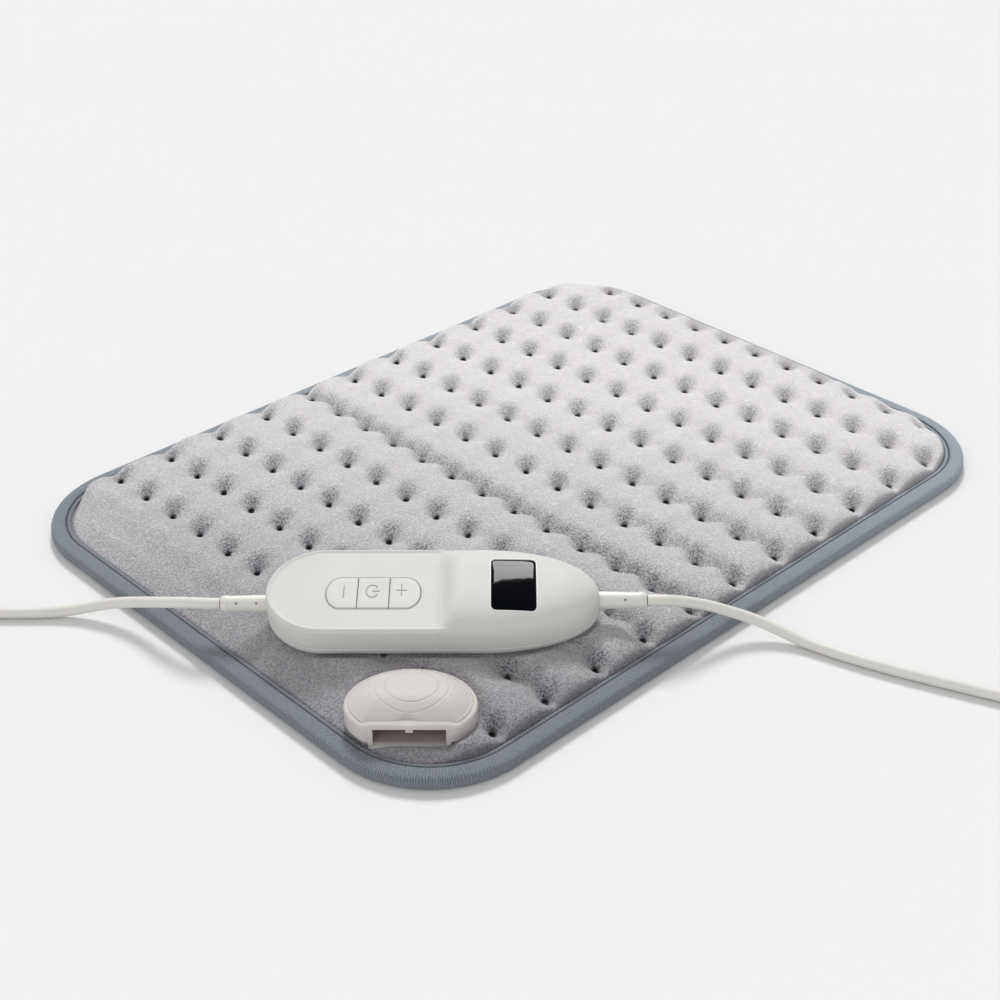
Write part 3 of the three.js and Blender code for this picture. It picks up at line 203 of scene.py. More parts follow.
@dataclass
class Shape:
    """A closed surface being made, in millimetres.

    Attributes:
        points: Corners, three numbers each.
        faces: Arrays of faces, each array of one size of face.
        surface: For each array of faces, the place on the surface of every corner of its
            faces, in metres, or nothing.
    """

    points: np.ndarray
    faces: list[np.ndarray]
    surface: list[np.ndarray] | None = None

    def volume(self) -> float:
        """Six times the volume inside, which is negative where the faces point inwards."""
        total = 0.0
        for array in self.faces:
            first = self.points[array[:, 0]]
            for k in range(1, array.shape[1] - 1):
                cross = np.cross(self.points[array[:, k]], self.points[array[:, k + 1]])
                total += float((first * cross).sum())
        return total

    def outward(self) -> "Shape":
        """This shape with its faces pointing outwards."""
        if self.volume() < 0.0:
            self.faces = [array[:, ::-1] for array in self.faces]
            if self.surface:
                self.surface = [array[:, ::-1] for array in self.surface]
        return self

    def placed(self, placement: Placement) -> "Shape":
        """This shape set down in a frame."""
        self.points = placement.out(self.points)
        return self

    def moved(self, x: float, y: float, z: float) -> "Shape":
        """This shape moved along the axes."""
        self.points = self.points + np.array([x, y, z])
        return self

    def joined(self, *others: "Shape") -> "Shape":
        """This shape and others as one shape of several closed surfaces."""
        for other in others:
            count = len(self.points)
            self.points = np.concatenate([self.points, other.points])
            self.faces = self.faces + [array + count for array in other.faces]
            if self.surface is not None and other.surface is not None:
                self.surface = self.surface + other.surface
        return self

    def build(self, name: str, sharp: float = 38.0) -> bpy.types.Object:
        """The shape as a smooth mesh object.

        Args:
            name: Name of the object and its mesh.
            sharp: Edges that turn by more than this many degrees stay sharp.

        Returns:
            The new object, in the scene.
        """
        corners = np.concatenate([array.ravel() for array in self.faces])
        sizes = np.concatenate([np.full(len(array), array.shape[1]) for array in self.faces])
        starts = np.concatenate([[0], np.cumsum(sizes)[:-1]])
        mesh = bpy.data.meshes.new(name)
        mesh.vertices.add(len(self.points))
        mesh.vertices.foreach_set("co", (self.points * MM).astype(np.float32).ravel())
        mesh.loops.add(len(corners))
        mesh.loops.foreach_set("vertex_index", corners.astype(np.int32))
        mesh.polygons.add(len(sizes))
        mesh.polygons.foreach_set("loop_start", starts.astype(np.int32))
        mesh.update(calc_edges=True)
        mesh.polygons.foreach_set("use_smooth", np.ones(len(sizes), bool))
        if self.surface is not None:
            layer = mesh.uv_layers.new(name="surface")
            flat = np.concatenate([array.reshape(-1, 2) for array in self.surface])
            layer.data.foreach_set("uv", flat.astype(np.float32).ravel())
        mesh.set_sharp_from_angle(angle=math.radians(sharp))
        return new_object(name, mesh)


def loft(rings: np.ndarray, looped: bool = False, caps: tuple[bool, bool] = (True, True)) -> Shape:
    """A surface through closed rings, one after another.

    The place on the surface runs round each ring and from ring to ring, as the mean length
    of the lines between their points.

    Args:
        rings: Rows of rings, columns of points, three numbers each.
        looped: Whether the last ring leads back to the first.
        caps: Whether the first and the last ring are closed over their middles.

    Returns:
        The closed shape, facing outwards.
    """
    rings = np.asarray(rings, float)
    rows, columns = rings.shape[:2]
    bands = rows if looped else rows - 1
    row = np.arange(bands)[:, None]
    column = np.arange(columns)[None, :]
    after, beside = (row + 1) % rows, (column + 1) % columns
    quads = np.stack([
        row * columns + column, row * columns + beside,
        after * columns + beside, after * columns + column,
    ], axis=-1).reshape(-1, 4)
    around = np.linalg.norm(np.roll(rings, -1, axis=1) - rings, axis=2).mean(axis=0)
    along = np.linalg.norm(np.roll(rings, -1, axis=0) - rings, axis=2).mean(axis=1)
    u = np.concatenate([[0.0], np.cumsum(around)]) * MM
    v = np.concatenate([[0.0], np.cumsum(along)]) * MM
    left, low = np.broadcast_arrays(u[column], v[row])
    right, high = np.broadcast_arrays(u[column + 1], v[row + 1])
    surface = np.stack([
        np.stack([across, along], -1)
        for across, along in ((left, low), (right, low), (right, high), (left, high))
    ], axis=2).reshape(-1, 4, 2)
    points = rings.reshape(-1, 3)
    faces, places = [quads], [surface]
    if not looped:
        index = np.arange(columns)
        for wanted, start, turned in ((caps[0], 0, True), (caps[1], (rows - 1) * columns, False)):
            if not wanted:
                continue
            middle = points[start:start + columns].mean(axis=0)
            points = np.concatenate([points, middle[None]])
            centre = np.full(columns, len(points) - 1)
            fan = np.stack([start + index, start + (index + 1) % columns, centre], axis=-1)
            flat = (points[fan][:, :, :2]) * MM
            faces.append(fan[:, ::-1] if turned else fan)
            places.append(flat[:, ::-1] if turned else flat)
    return Shape(points, faces, places).outward()


def ring(outline: np.ndarray, height: np.ndarray | float) -> np.ndarray:
    """A flat outline as a ring at a height, or at a height of its own for each point."""
    heights = np.broadcast_to(np.asarray(height, float), (len(outline),))
    return np.column_stack([outline, heights])


def rounded(length: float, width: float, radius: float, inset: float,
            steps: int, side: int) -> np.ndarray:
    """A rectangle with round corners about the origin, anticlockwise, drawn in by an inset.

    Each quarter is a corner's arc followed by a straight side.

    Args:
        length: Length of the rectangle.
        width: Its width.
        radius: Radius of its corners before it is drawn in.
        inset: How far it is drawn in.
        steps: Steps in each corner.
        side: Steps in each side.

    Returns:
        The outline's points, two numbers each.
    """
    corner = max(radius - inset, 0.01)
    cx, cy = length / 2 - inset - corner, width / 2 - inset - corner
    parts = []
    for quarter, (sx, sy) in enumerate(((1, 1), (-1, 1), (-1, -1), (1, -1))):
        angle = math.pi / 2 * (quarter + np.arange(steps + 1) / steps)
        arc = np.column_stack([sx * cx + corner * np.cos(angle), sy * cy + corner * np.sin(angle)])
        run = 2 * (cx if quarter % 2 == 0 else cy)
        way = np.array([-sx, 0.0]) if quarter % 2 == 0 else np.array([0.0, -sy])
        share = np.arange(1, side)[:, None] / side
        parts += [arc, arc[-1] + way * run * share]
    return np.concatenate(parts)


def turned(profile: Sequence[tuple[float, float]], sides: int = 40) -> Shape:
    """A round body about the X axis through pairs of a place along it and a radius."""
    spots = np.array(profile, float)
    angle = 2 * math.pi * np.arange(sides) / sides
    rings = np.stack([
        np.broadcast_to(spots[:, :1], (len(spots), sides)),
        spots[:, 1:] * np.cos(angle), spots[:, 1:] * np.sin(angle),
    ], axis=-1)
    return loft(rings)


def box(low: Sequence[float], high: Sequence[float]) -> Shape:
    """A block between two corners, used only to cut with."""
    x0, y0, z0 = low
    x1, y1, z1 = high
    base = np.array([[x0, y0], [x1, y0], [x1, y1], [x0, y1]])
    return loft(np.stack([ring(base, z0), ring(base, z1)]))


def discard(obj: bpy.types.Object) -> None:
    """Removes an object and its mesh."""
    spare = obj.data
    bpy.data.objects.remove(obj)
    bpy.data.meshes.remove(spare)


def carve(obj: bpy.types.Object, cutters: Sequence[Shape], sharp: float = 38.0) -> bpy.types.Object:
    """Cuts shapes out of a mesh and keeps the result as plain mesh.

    Args:
        obj: The object that is cut.
        cutters: Shapes in the model's frame.
        sharp: Edges that turn by more than this many degrees stay sharp.

    Returns:
        The same object.
    """
    tools = [shape.build(f"{obj.name}_cut_{k}") for k, shape in enumerate(cutters)]
    for tool in tools:
        cut = obj.modifiers.new(tool.name, "BOOLEAN")
        cut.operation, cut.solver, cut.object = "DIFFERENCE", "EXACT", tool
    bpy.context.view_layer.update()
    mesh = bpy.data.meshes.new_from_object(obj.evaluated_get(bpy.context.evaluated_depsgraph_get()))
    obj.modifiers.clear()
    old, obj.data = obj.data, mesh
    bpy.data.meshes.remove(old)
    for tool in tools:
        discard(tool)
    mesh.polygons.foreach_set("use_smooth", np.ones(len(mesh.polygons), bool))
    mesh.set_sharp_from_angle(angle=math.radians(sharp))
    return obj


def merge(obj: bpy.types.Object, other: bpy.types.Object) -> None:
    """Adds another object's mesh to an object's and removes the other object."""
    work = bmesh.new()
    work.from_mesh(obj.data)
    work.from_mesh(other.data)
    work.to_mesh(obj.data)
    work.free()
    discard(other)


# Materials


class Value:
    """A number that nodes work out; its arithmetic adds Math nodes to its graph."""

    def __init__(self, graph: "Graph", socket: bpy.types.NodeSocket) -> None:
        """Stands for an output of a node."""
        self.graph, self.socket = graph, socket

    def __add__(self, other: object) -> "Value":
        """The sum with a number or a value."""
        return self.graph.math("ADD", self, other)

    def __sub__(self, other: object) -> "Value":
        """This value less a number or a value."""
        return self.graph.math("SUBTRACT", self, other)

    def __rsub__(self, other: object) -> "Value":
        """A number less this value."""
        return self.graph.math("SUBTRACT", other, self)

    def __mul__(self, other: object) -> "Value":
        """The product with a number or a value."""
        return self.graph.math("MULTIPLY", self, other)

    def __truediv__(self, other: object) -> "Value":
        """This value divided by a number or a value."""
        return self.graph.math("DIVIDE", self, other)

    def __abs__(self) -> "Value":
        """The value without its sign."""
        return self.graph.math("ABSOLUTE", self)


class Graph:
    """A node tree being drawn, with short calls that add nodes and link them."""

    def __init__(self, tree: bpy.types.NodeTree) -> None:
        """Starts on a tree."""
        self.tree = tree

    def feed(self, node: bpy.types.Node, values: dict[str | int, object]) -> bpy.types.Node:
        """Sets a node's inputs, each by its name or number.

        Args:
            node: The node.
            values: For each input, a constant or the output it is linked to.

        Returns:
            The node.
        """
        for name, value in values.items():
            socket = node.inputs[name]
            if isinstance(value, Value):
                value = value.socket
            if isinstance(value, bpy.types.NodeSocket):
                self.tree.links.new(value, socket)
            elif isinstance(value, tuple) and socket.type == "RGBA":
                socket.default_value = (*value, 1.0)
            else:
                socket.default_value = value
        return node

    def node(self, kind: str, values: dict[str | int, object] | None = None,
             **settings: object) -> bpy.types.Node:
        """Adds a node of a kind, with its settings and then its inputs."""
        made = self.tree.nodes.new(kind)
        for name, value in settings.items():
            setattr(made, name, value)
        return self.feed(made, values or {})

    def math(self, kind: str, *values: object, clamp: bool = False) -> Value:
        """The result of a Math node."""
        made = self.node("ShaderNodeMath", dict(enumerate(values)), operation=kind, use_clamp=clamp)
        return Value(self, made.outputs[0])

    def hypot(self, first: Value, second: Value) -> Value:
        """The length of a step, given its two parts."""
        return self.math("SQRT", first * first + second * second)

    def ripple(self, angle: Value) -> Value:
        """The size of an angle's sine."""
        return abs(self.math("SINE", angle))

    def spread(self, value: object, low: float, high: float,
               to_low: float = 0.0, to_high: float = 1.0) -> Value:
        """A value's range between low and high, drawn smoothly to another range."""
        made = self.node("ShaderNodeMapRange", {
            "Value": value, "From Min": low, "From Max": high, "To Min": to_low, "To Max": to_high,
        }, interpolation_type="SMOOTHSTEP")
        return Value(self, made.outputs[0])

    def place(self) -> bpy.types.NodeSocket:
        """The place on the object, in metres."""
        return self.node("ShaderNodeTexCoord").outputs["Object"]

    def parts(self, vector: bpy.types.NodeSocket) -> list[Value]:
        """The three parts of a vector."""
        made = self.node("ShaderNodeSeparateXYZ", {0: vector})
        return [Value(self, socket) for socket in made.outputs]

    def noise(self, scale: object, detail: float, roughness: float = 0.5,
              place: bpy.types.NodeSocket | None = None) -> Value:
        """Noise over the place on the object, or over another place."""
        made = self.node("ShaderNodeTexNoise", {
            "Vector": self.place() if place is None else place,
            "Scale": scale, "Detail": detail, "Roughness": roughness})
        return Value(self, made.outputs[0])

    def blend(self, share: object, first: object, second: object,
              kind: str = "MIX") -> bpy.types.NodeSocket:
        """The colour a share of the way from the first colour to the second."""
        return self.node("ShaderNodeMix", {
            0: share, 6: first, 7: second}, data_type="RGBA", blend_type=kind).outputs[2]

    def darken(self, colour: object, level: Value, blue: Value) -> bpy.types.NodeSocket:
        """A colour darkened by a level, and in its blue by another."""
        levels = self.node("ShaderNodeCombineXYZ", {0: level, 1: level, 2: blue})
        return self.blend(1.0, colour, levels.outputs[0], "MULTIPLY")

    def bump(self, strength: float, distance: float, height: Value) -> bpy.types.NodeSocket:
        """The normal over a height."""
        return self.node("ShaderNodeBump", {
            "Strength": strength, "Distance": distance, "Height": height}).outputs[0]


class Effect(Enum):
    """The shared surface effects, each a node group."""

    GRAIN = "fine_grain"
    PILE = "velvet_pile"
    RIBS = "rib_knit"
    WEAVE = "plain_weave"
    DUST = "settled_dust"


class Effects:
    """Builds each shared effect once.

    Each effect's method takes its graph and its inputs and gives its outputs by name.
    """

    def __init__(self) -> None:
        """Draws every group, with its inputs' usual values."""
        plans = (
            (Effect.GRAIN, self.grain, {"Scale": 1.0}),
            (Effect.PILE, self.pile, {"Fibre": 0.7, "Clump": 4.0}),
            (Effect.RIBS, self.ribs, {"Pitch": 0.8, "Stitch": 0.7}),
            (Effect.WEAVE, self.weave, {"Pitch": 0.8}),
            (Effect.DUST, self.dust, {"Amount": 1.0}),
        )
        self.trees = {effect: self.group(effect.value, drawn, inputs) for effect, drawn, inputs in plans}

    @staticmethod
    def group(name: str, drawn: Callable, inputs: dict[str, float]) -> bpy.types.NodeTree:
        """A new shader node group.

        Args:
            name: The group's name.
            drawn: Takes the graph and a value for each input, and gives the outputs by name.
            inputs: The inputs and their usual values.

        Returns:
            The group.
        """
        tree = bpy.data.node_groups.new(name, "ShaderNodeTree")
        for socket, value in inputs.items():
            made = tree.interface.new_socket(socket, in_out="INPUT", socket_type="NodeSocketFloat")
            made.default_value = value
        g = Graph(tree)
        given = g.node("NodeGroupInput")
        outputs = drawn(g, *(Value(g, given.outputs[socket]) for socket in inputs))
        for socket in outputs:
            tree.interface.new_socket(socket, in_out="OUTPUT", socket_type="NodeSocketFloat")
        g.node("NodeGroupOutput", outputs)
        return tree

    @staticmethod
    def grain(g: Graph, scale: Value) -> dict[str, Value]:
        """Moulded grain: fine noise for the height, broad noise for patches of shine."""
        patches = g.spread(g.noise(scale * 38.0, 4.0), 0.3, 0.7)
        return {"Height": g.noise(scale * 1500.0, 3.0, 0.6), "Patches": patches}

    @staticmethod
    def pile(g: Graph, fibre: Value, clump: Value) -> dict[str, Value]:
        """Short velvet pile: the ends of its fibres as a fine grain, over soft clumps."""
        fibres = g.spread(g.noise(g.math("DIVIDE", 1.0 / MM, fibre), 3.0, 0.62), 0.32, 0.68)
        clumps = g.spread(g.noise(g.math("DIVIDE", 1.0 / MM, clump), 2.5, 0.6), 0.3, 0.7)
        return {"Height": fibres * 0.75 + clumps * 0.25, "Fibres": fibres, "Clumps": clumps}

    @staticmethod
    def ribs(g: Graph, pitch: Value, stitch: Value) -> dict[str, Value]:
        """Ribbed knit on the piece's own surface: ribs across its length, stitches in each rib."""
        place = g.node("ShaderNodeUVMap", uv_map="surface").outputs[0]
        along, across, _ = g.parts(place)
        waver = g.noise(420.0, 2.0, place=place)
        rib = g.ripple((waver * 2.0 + along / MM / pitch) * math.pi)
        stitches = g.ripple((rib * 0.5 + across / MM / stitch + waver) * math.pi)
        return {"Height": rib * 0.65 + stitches * 0.35, "Across": across}

    @staticmethod
    def weave(g: Graph, pitch: Value) -> dict[str, Value]:
        """Plain weave: two crossed waves, the higher of which shows, made uneven by noise."""
        x, y, _ = g.parts(g.place())
        waver = g.noise(300.0, 2.0) * 0.8
        warp, weft = (g.ripple(waver + value * (math.pi / MM) / pitch) for value in (x, y))
        return {"Height": g.math("MAXIMUM", warp, weft), "Threads": warp * weft}

    @staticmethod
    def dust(g: Graph, amount: Value) -> dict[str, Value]:
        """Faint dust and handling marks: patches that are strongest on faces that look up."""
        up = g.parts(g.node("ShaderNodeNewGeometry").outputs["Normal"])[2]
        patches = g.spread(g.noise(70.0, 6.0, 0.65), 0.42, 0.75)
        return {"Mask": patches * g.spread(up, -0.2, 1.0, 0.25, 1.0) * amount}

    def place(self, g: Graph, effect: Effect, **values: float) -> dict[str, Value]:
        """Puts an effect's group into a material, with values of its own, and gives its outputs."""
        made = g.node("ShaderNodeGroup", node_tree=self.trees[effect])
        g.feed(made, values)
        return {socket.name: Value(g, socket) for socket in made.outputs}


def new_material(name: str, kind: str = "ShaderNodeBsdfPrincipled") -> tuple[
        bpy.types.Material, Graph, bpy.types.Node]:
    """A material with nothing but its shader and output, a graph on it, and the shader."""
    material = bpy.data.materials.new(name)
    material.use_nodes = True
    material.node_tree.nodes.clear()
    g = Graph(material.node_tree)
    shader = g.node(kind)
    g.node("ShaderNodeOutputMaterial", {0: shader.outputs[0]})
    return material, g, shader


@dataclass(frozen=True)
class Plastic:
    """Moulded plastic with a fine grain, patches of shine and a little dust.

    Attributes:
        name: The finish's name.
        colour: Its colour.
        marks: The colour that handling marks turn it to.
        roughness: Its roughness where it is plain.
        grain: Strength of its grain.
        coat: Weight of a clear shine over it.
        scale: Scale of its grain.
        shine: Level of its reflections.
    """

    name: str
    colour: Colour
    marks: Colour
    roughness: float = 0.4
    grain: float = 0.05
    coat: float = 0.0
    scale: float = 1.0
    shine: float = 0.5

    def make(self, effects: Effects) -> bpy.types.Material:
        """The finish as a material."""
        material, g, shader = new_material(self.name)
        grain = effects.place(g, Effect.GRAIN, Scale=self.scale)
        dust = effects.place(g, Effect.DUST, Amount=0.55)
        shiny, dull = self.roughness * 0.88, self.roughness * 1.14
        g.feed(shader, {
            "Base Color": g.blend(dust["Mask"], self.colour, self.marks),
            "Roughness": g.spread(grain["Patches"], 0.0, 1.0, shiny, dull),
            "Normal": g.bump(self.grain, 0.0002, grain["Height"]),
            "Specular IOR Level": self.shine,
        })
        if self.coat:
            g.feed(shader, {"Coat Weight": self.coat, "Coat Roughness": 0.12})
        return material


@dataclass(frozen=True)
class Metal:
    """Drawn or turned metal with fine scratches.

    Attributes:
        name: The finish's name.
        colour: Its colour.
        worn: Its colour where it is worn or dull.
        roughness: Its roughness.
    """

    name: str
    colour: Colour
    worn: Colour
    roughness: float = 0.3

    def make(self, effects: Effects) -> bpy.types.Material:
        """The finish as a material."""
        material, g, shader = new_material(self.name)
        grain = effects.place(g, Effect.GRAIN, Scale=1.6)
        g.feed(shader, {
            "Base Color": g.blend(grain["Patches"], self.colour, self.worn),
            "Roughness": g.spread(grain["Height"], 0.2, 0.8, self.roughness * 0.8, self.roughness * 1.3),
            "Metallic": 1.0,
            "Normal": g.bump(0.06, 0.0001, grain["Height"]),
        })
        return material


@dataclass(frozen=True)
class Quilt:
    """The pad's outline and its grid of tufts, which its shape and its plush share.

    Attributes:
        length: Length of the pad.
        width: Its width.
        corner: Radius of its corners.
        cover_inset: How far in the quilted part of the cover starts.
        pitch_x: Distance between columns of tufts.
        pitch_y: Distance between tufts in a column.
        first_x: Place of the first column.
        creased: The column along which the long crease runs, counted from 0.
        scallop: Depth of a crease's scallops.
    """

    length: float = 400.0
    width: float = 300.0
    corner: float = 50.0
    cover_inset: float = 9.8
    pitch_x: float = 30.2
    pitch_y: float = 22.2
    first_x: float = -148.0
    creased: int = 4
    scallop: float = 3.0


def across_pad(x: Value, y: Value) -> Value:
    """How far a place lies from the pad's middle towards its far corner, in metres."""
    return x * 0.85 + y * 0.53


@dataclass(frozen=True)
class Velvet:
    """Short plush: pale tips, darker roots, a soft sheen, and fibres in the bump.

    Attributes:
        name: The finish's name.
        tips: Colour of the tips.
        roots: Colour between the fibres.
        shade: Colour of the clumps that lie away from the light.
        front_shade: Painted shade: how much darker the pile is towards the corner near the mouth.
        tufts: Painted shade: how dark the pile is in the pit of each tuft.
        fan: Painted shade: how much of the roots' colour shows beyond each tuft and along the creases.
        grain_and_front_shade: How much of the roots shows as grain, more as painted shade towards the
            mouth's corner.
        seam: Painted shade: how dark the pile is along its border, next to the binding.
        crease: Painted shade: how much of the roots' colour is painted along the creases.
        fibre: Length scale of the fibres.
        clump: Length scale of the clumps.
        depth: How deep the pile is drawn, in metres.
        quilt: The grid of tufts.
    """

    name: str
    tips: Colour
    roots: Colour
    shade: Colour
    front_shade: float = 1.0
    tufts: float = 1.0
    fan: float = 0.0
    grain_and_front_shade: float = 0.2
    seam: float = 1.0
    crease: float = 0.0
    fibre: float = 0.95
    clump: float = 4.2
    depth: float = 0.0008
    quilt: Quilt = Quilt()

    def from_tuft(self, g: Graph, x: Value, y: Value, beyond: float) -> Value:
        """Distance from the spot that lies beyond the nearest tuft to the back right, in millimetres."""
        reach_x, reach_y = self.quilt.pitch_x / math.pi, self.quilt.pitch_y / math.pi
        column = g.math("SINE", (x - (self.quilt.first_x + 0.72 * beyond) * MM) / (reach_x * MM))
        row = g.math("SINE", (y - 0.69 * beyond * MM) / (reach_y * MM))
        return g.hypot(column * reach_x, row * reach_y)

    def from_border(self, g: Graph, x: Value, y: Value) -> Value:
        """Distance inside the cover's border, in metres."""
        quilt = self.quilt
        dx = abs(x) - (quilt.length / 2 - quilt.corner) * MM
        dy = abs(y) - (quilt.width / 2 - quilt.corner) * MM
        outer = g.hypot(g.math("MAXIMUM", dx, 0.0), g.math("MAXIMUM", dy, 0.0))
        inner = g.math("MINIMUM", g.math("MAXIMUM", dx, dy), 0.0)
        return (quilt.corner - quilt.cover_inset) * MM - (outer + inner)

    def creases(self, g: Graph, x: Value, y: Value) -> Value:
        """How much painted shade lies beyond the near side of the long crease, and near the front of the
        others.
        """
        quilt = self.quilt
        wave = g.math("SINE", y * (math.pi / quilt.pitch_y / MM))
        scallop = wave * wave * (quilt.scallop * MM)
        column = (x - quilt.first_x * MM) / (quilt.pitch_x * MM)
        others = g.math("FRACT", column) * (quilt.pitch_x * MM) - scallop
        crease = (column - quilt.creased) * (quilt.pitch_x * MM) - scallop
        # Painted shade beyond the steep near side of each crease; the others' is fainter and near the
        # front.
        crease_shade, faint = (
            g.spread(across, -0.0006, 0.0002) * g.spread(across, 0.0004, 0.0085, self.crease, 0.0)
            for across in (crease, others))
        front = g.spread(y, -0.11, 0.0, 0.6, 0.0) * g.spread(x, 0.02, 0.13, 1.0, 0.0)
        return g.math("MAXIMUM", crease_shade, faint * front)

    def make(self, effects: Effects) -> bpy.types.Material:
        """The finish as a material.

        Painted shade: the roots' colour is painted in a small fan beyond each tuft and along
        the creases, where their walls face away from the light, and the pile is painted darker
        in the pits of the tufts, along its border and towards the corner near the mouth.
        """
        material, g, shader = new_material(self.name)
        pile = effects.place(g, Effect.PILE, Fibre=self.fibre, Clump=self.clump)
        x, y, _ = g.parts(g.place())
        across, border = across_pad(x, y), self.from_border(g, x, y)
        in_field = g.spread(x, -0.151, -0.1505)
        # Painted shade: where the walls beyond each tuft and along the creases face away from the light,
        # the roots' colour is painted in a fan and the level is darkened.
        beyond = g.spread(self.from_tuft(g, x, y, 4.0), 1.0, 7.6, 1.0, 0.0)
        lean = g.math("MAXIMUM", beyond, self.creases(g, x, y))
        fan = in_field * (lean * g.spread(border, 0.002, 0.006)) * self.fan
        # The roots show between the fibres as grain, and as painted shade in the fans and towards the
        # corner near the mouth.
        roots_and_shade = fan + g.spread(across, -0.16, 0.1, self.grain_and_front_shade, 0.25 * self.grain_and_front_shade)
        share = g.spread(pile["Fibres"], 0.0, 0.82, 1.0, 0.0) * roots_and_shade
        piled = g.blend(share, g.blend(pile["Clumps"], self.shade, self.tips), self.roots)
        # Painted shade in the pit of each tuft.
        pit = g.spread(self.from_tuft(g, x, y, 0.3), 0.8, 2.2, 1.0 - self.tufts, 0.0)
        pit = in_field * (pit * g.spread(border, 0.003, 0.0048))
        tufted = g.math("SUBTRACT", 1.0, fan * 0.6 + pit, clamp=True)
        # Painted shade: the pile darkens towards the corner near the mouth.
        front_shading = g.spread(across, -0.21, -0.04, self.front_shade, 1.0)
        front_shading = front_shading * g.spread(across, -0.1, 0.13, 0.5 + self.front_shade / 2, 1.0)
        # Painted shade along the border, where the pile meets the binding.
        level = front_shading * tufted * g.spread(border, 0.0002, 0.0022, self.seam, 1.0)
        g.feed(shader, {
            "Base Color": g.darken(piled, level, g.math("POWER", level, 0.94)),
            "Roughness": 0.95,
            "Specular IOR Level": 0.15,
            "Sheen Weight": 0.42,
            "Sheen Roughness": 0.45,
            "Normal": g.bump(0.9, self.depth, pile["Height"]),
        })
        return material


@dataclass(frozen=True)
class RibKnit:
    """Ribbed binding tape with its stitched edge.

    Attributes:
        name: The finish's name.
        face: Colour on the ribs.
        valley: Colour between the ribs.
        thread: Colour of the sewing thread and its shade.
        pitch: Distance from rib to rib.
        seam: Place of the seam across the tape.
        tape_front_shade: Painted shade: how much darker the tape is towards the corner near the mouth.
    """

    name: str
    face: Colour
    valley: Colour
    thread: Colour
    pitch: float = 0.9
    seam: float = 14.4
    tape_front_shade: float = 0.5

    def make(self, effects: Effects) -> bpy.types.Material:
        """The finish as a material: the knit, painted shade near the mouth, and a darker line of thread
        along its seam.
        """
        material, g, shader = new_material(self.name)
        ribs = effects.place(g, Effect.RIBS, Pitch=self.pitch)
        x, y, _ = g.parts(g.place())
        # Painted shade: the tape darkens towards the corner near the mouth.
        level = g.spread(across_pad(x, y), -0.17, 0.15, self.tape_front_shade, 1.0)
        knit = g.blend(g.spread(ribs["Height"], 0.15, 0.8), self.valley, self.face)
        line = g.spread(abs(ribs["Across"] - self.seam * MM), 0.0003, 0.0010, 0.85, 0.0)
        g.feed(shader, {
            "Base Color": g.blend(line, g.darken(knit, level, level), self.thread),
            "Roughness": 0.9,
            "Sheen Weight": 0.25,
            "Sheen Roughness": 0.5,
            "Normal": g.bump(0.9, 0.0007, ribs["Height"]),
        })
        return material


@dataclass(frozen=True)
class Cloth:
    """Woven cloth or felt.

    Attributes:
        name: The finish's name.
        thread: Colour of the threads.
        between: Colour between them.
        pitch: Distance from thread to thread.
    """

    name: str
    thread: Colour
    between: Colour
    pitch: float = 0.8

    def make(self, effects: Effects) -> bpy.types.Material:
        """The finish as a material."""
        material, g, shader = new_material(self.name)
        weave = effects.place(g, Effect.WEAVE, Pitch=self.pitch)
        g.feed(shader, {
            "Base Color": g.blend(g.spread(weave["Threads"], 0.0, 0.7), self.between, self.thread),
            "Roughness": 0.93,
            "Sheen Weight": 0.2,
            "Normal": g.bump(0.5, 0.0003, weave["Height"]),
        })
        return material


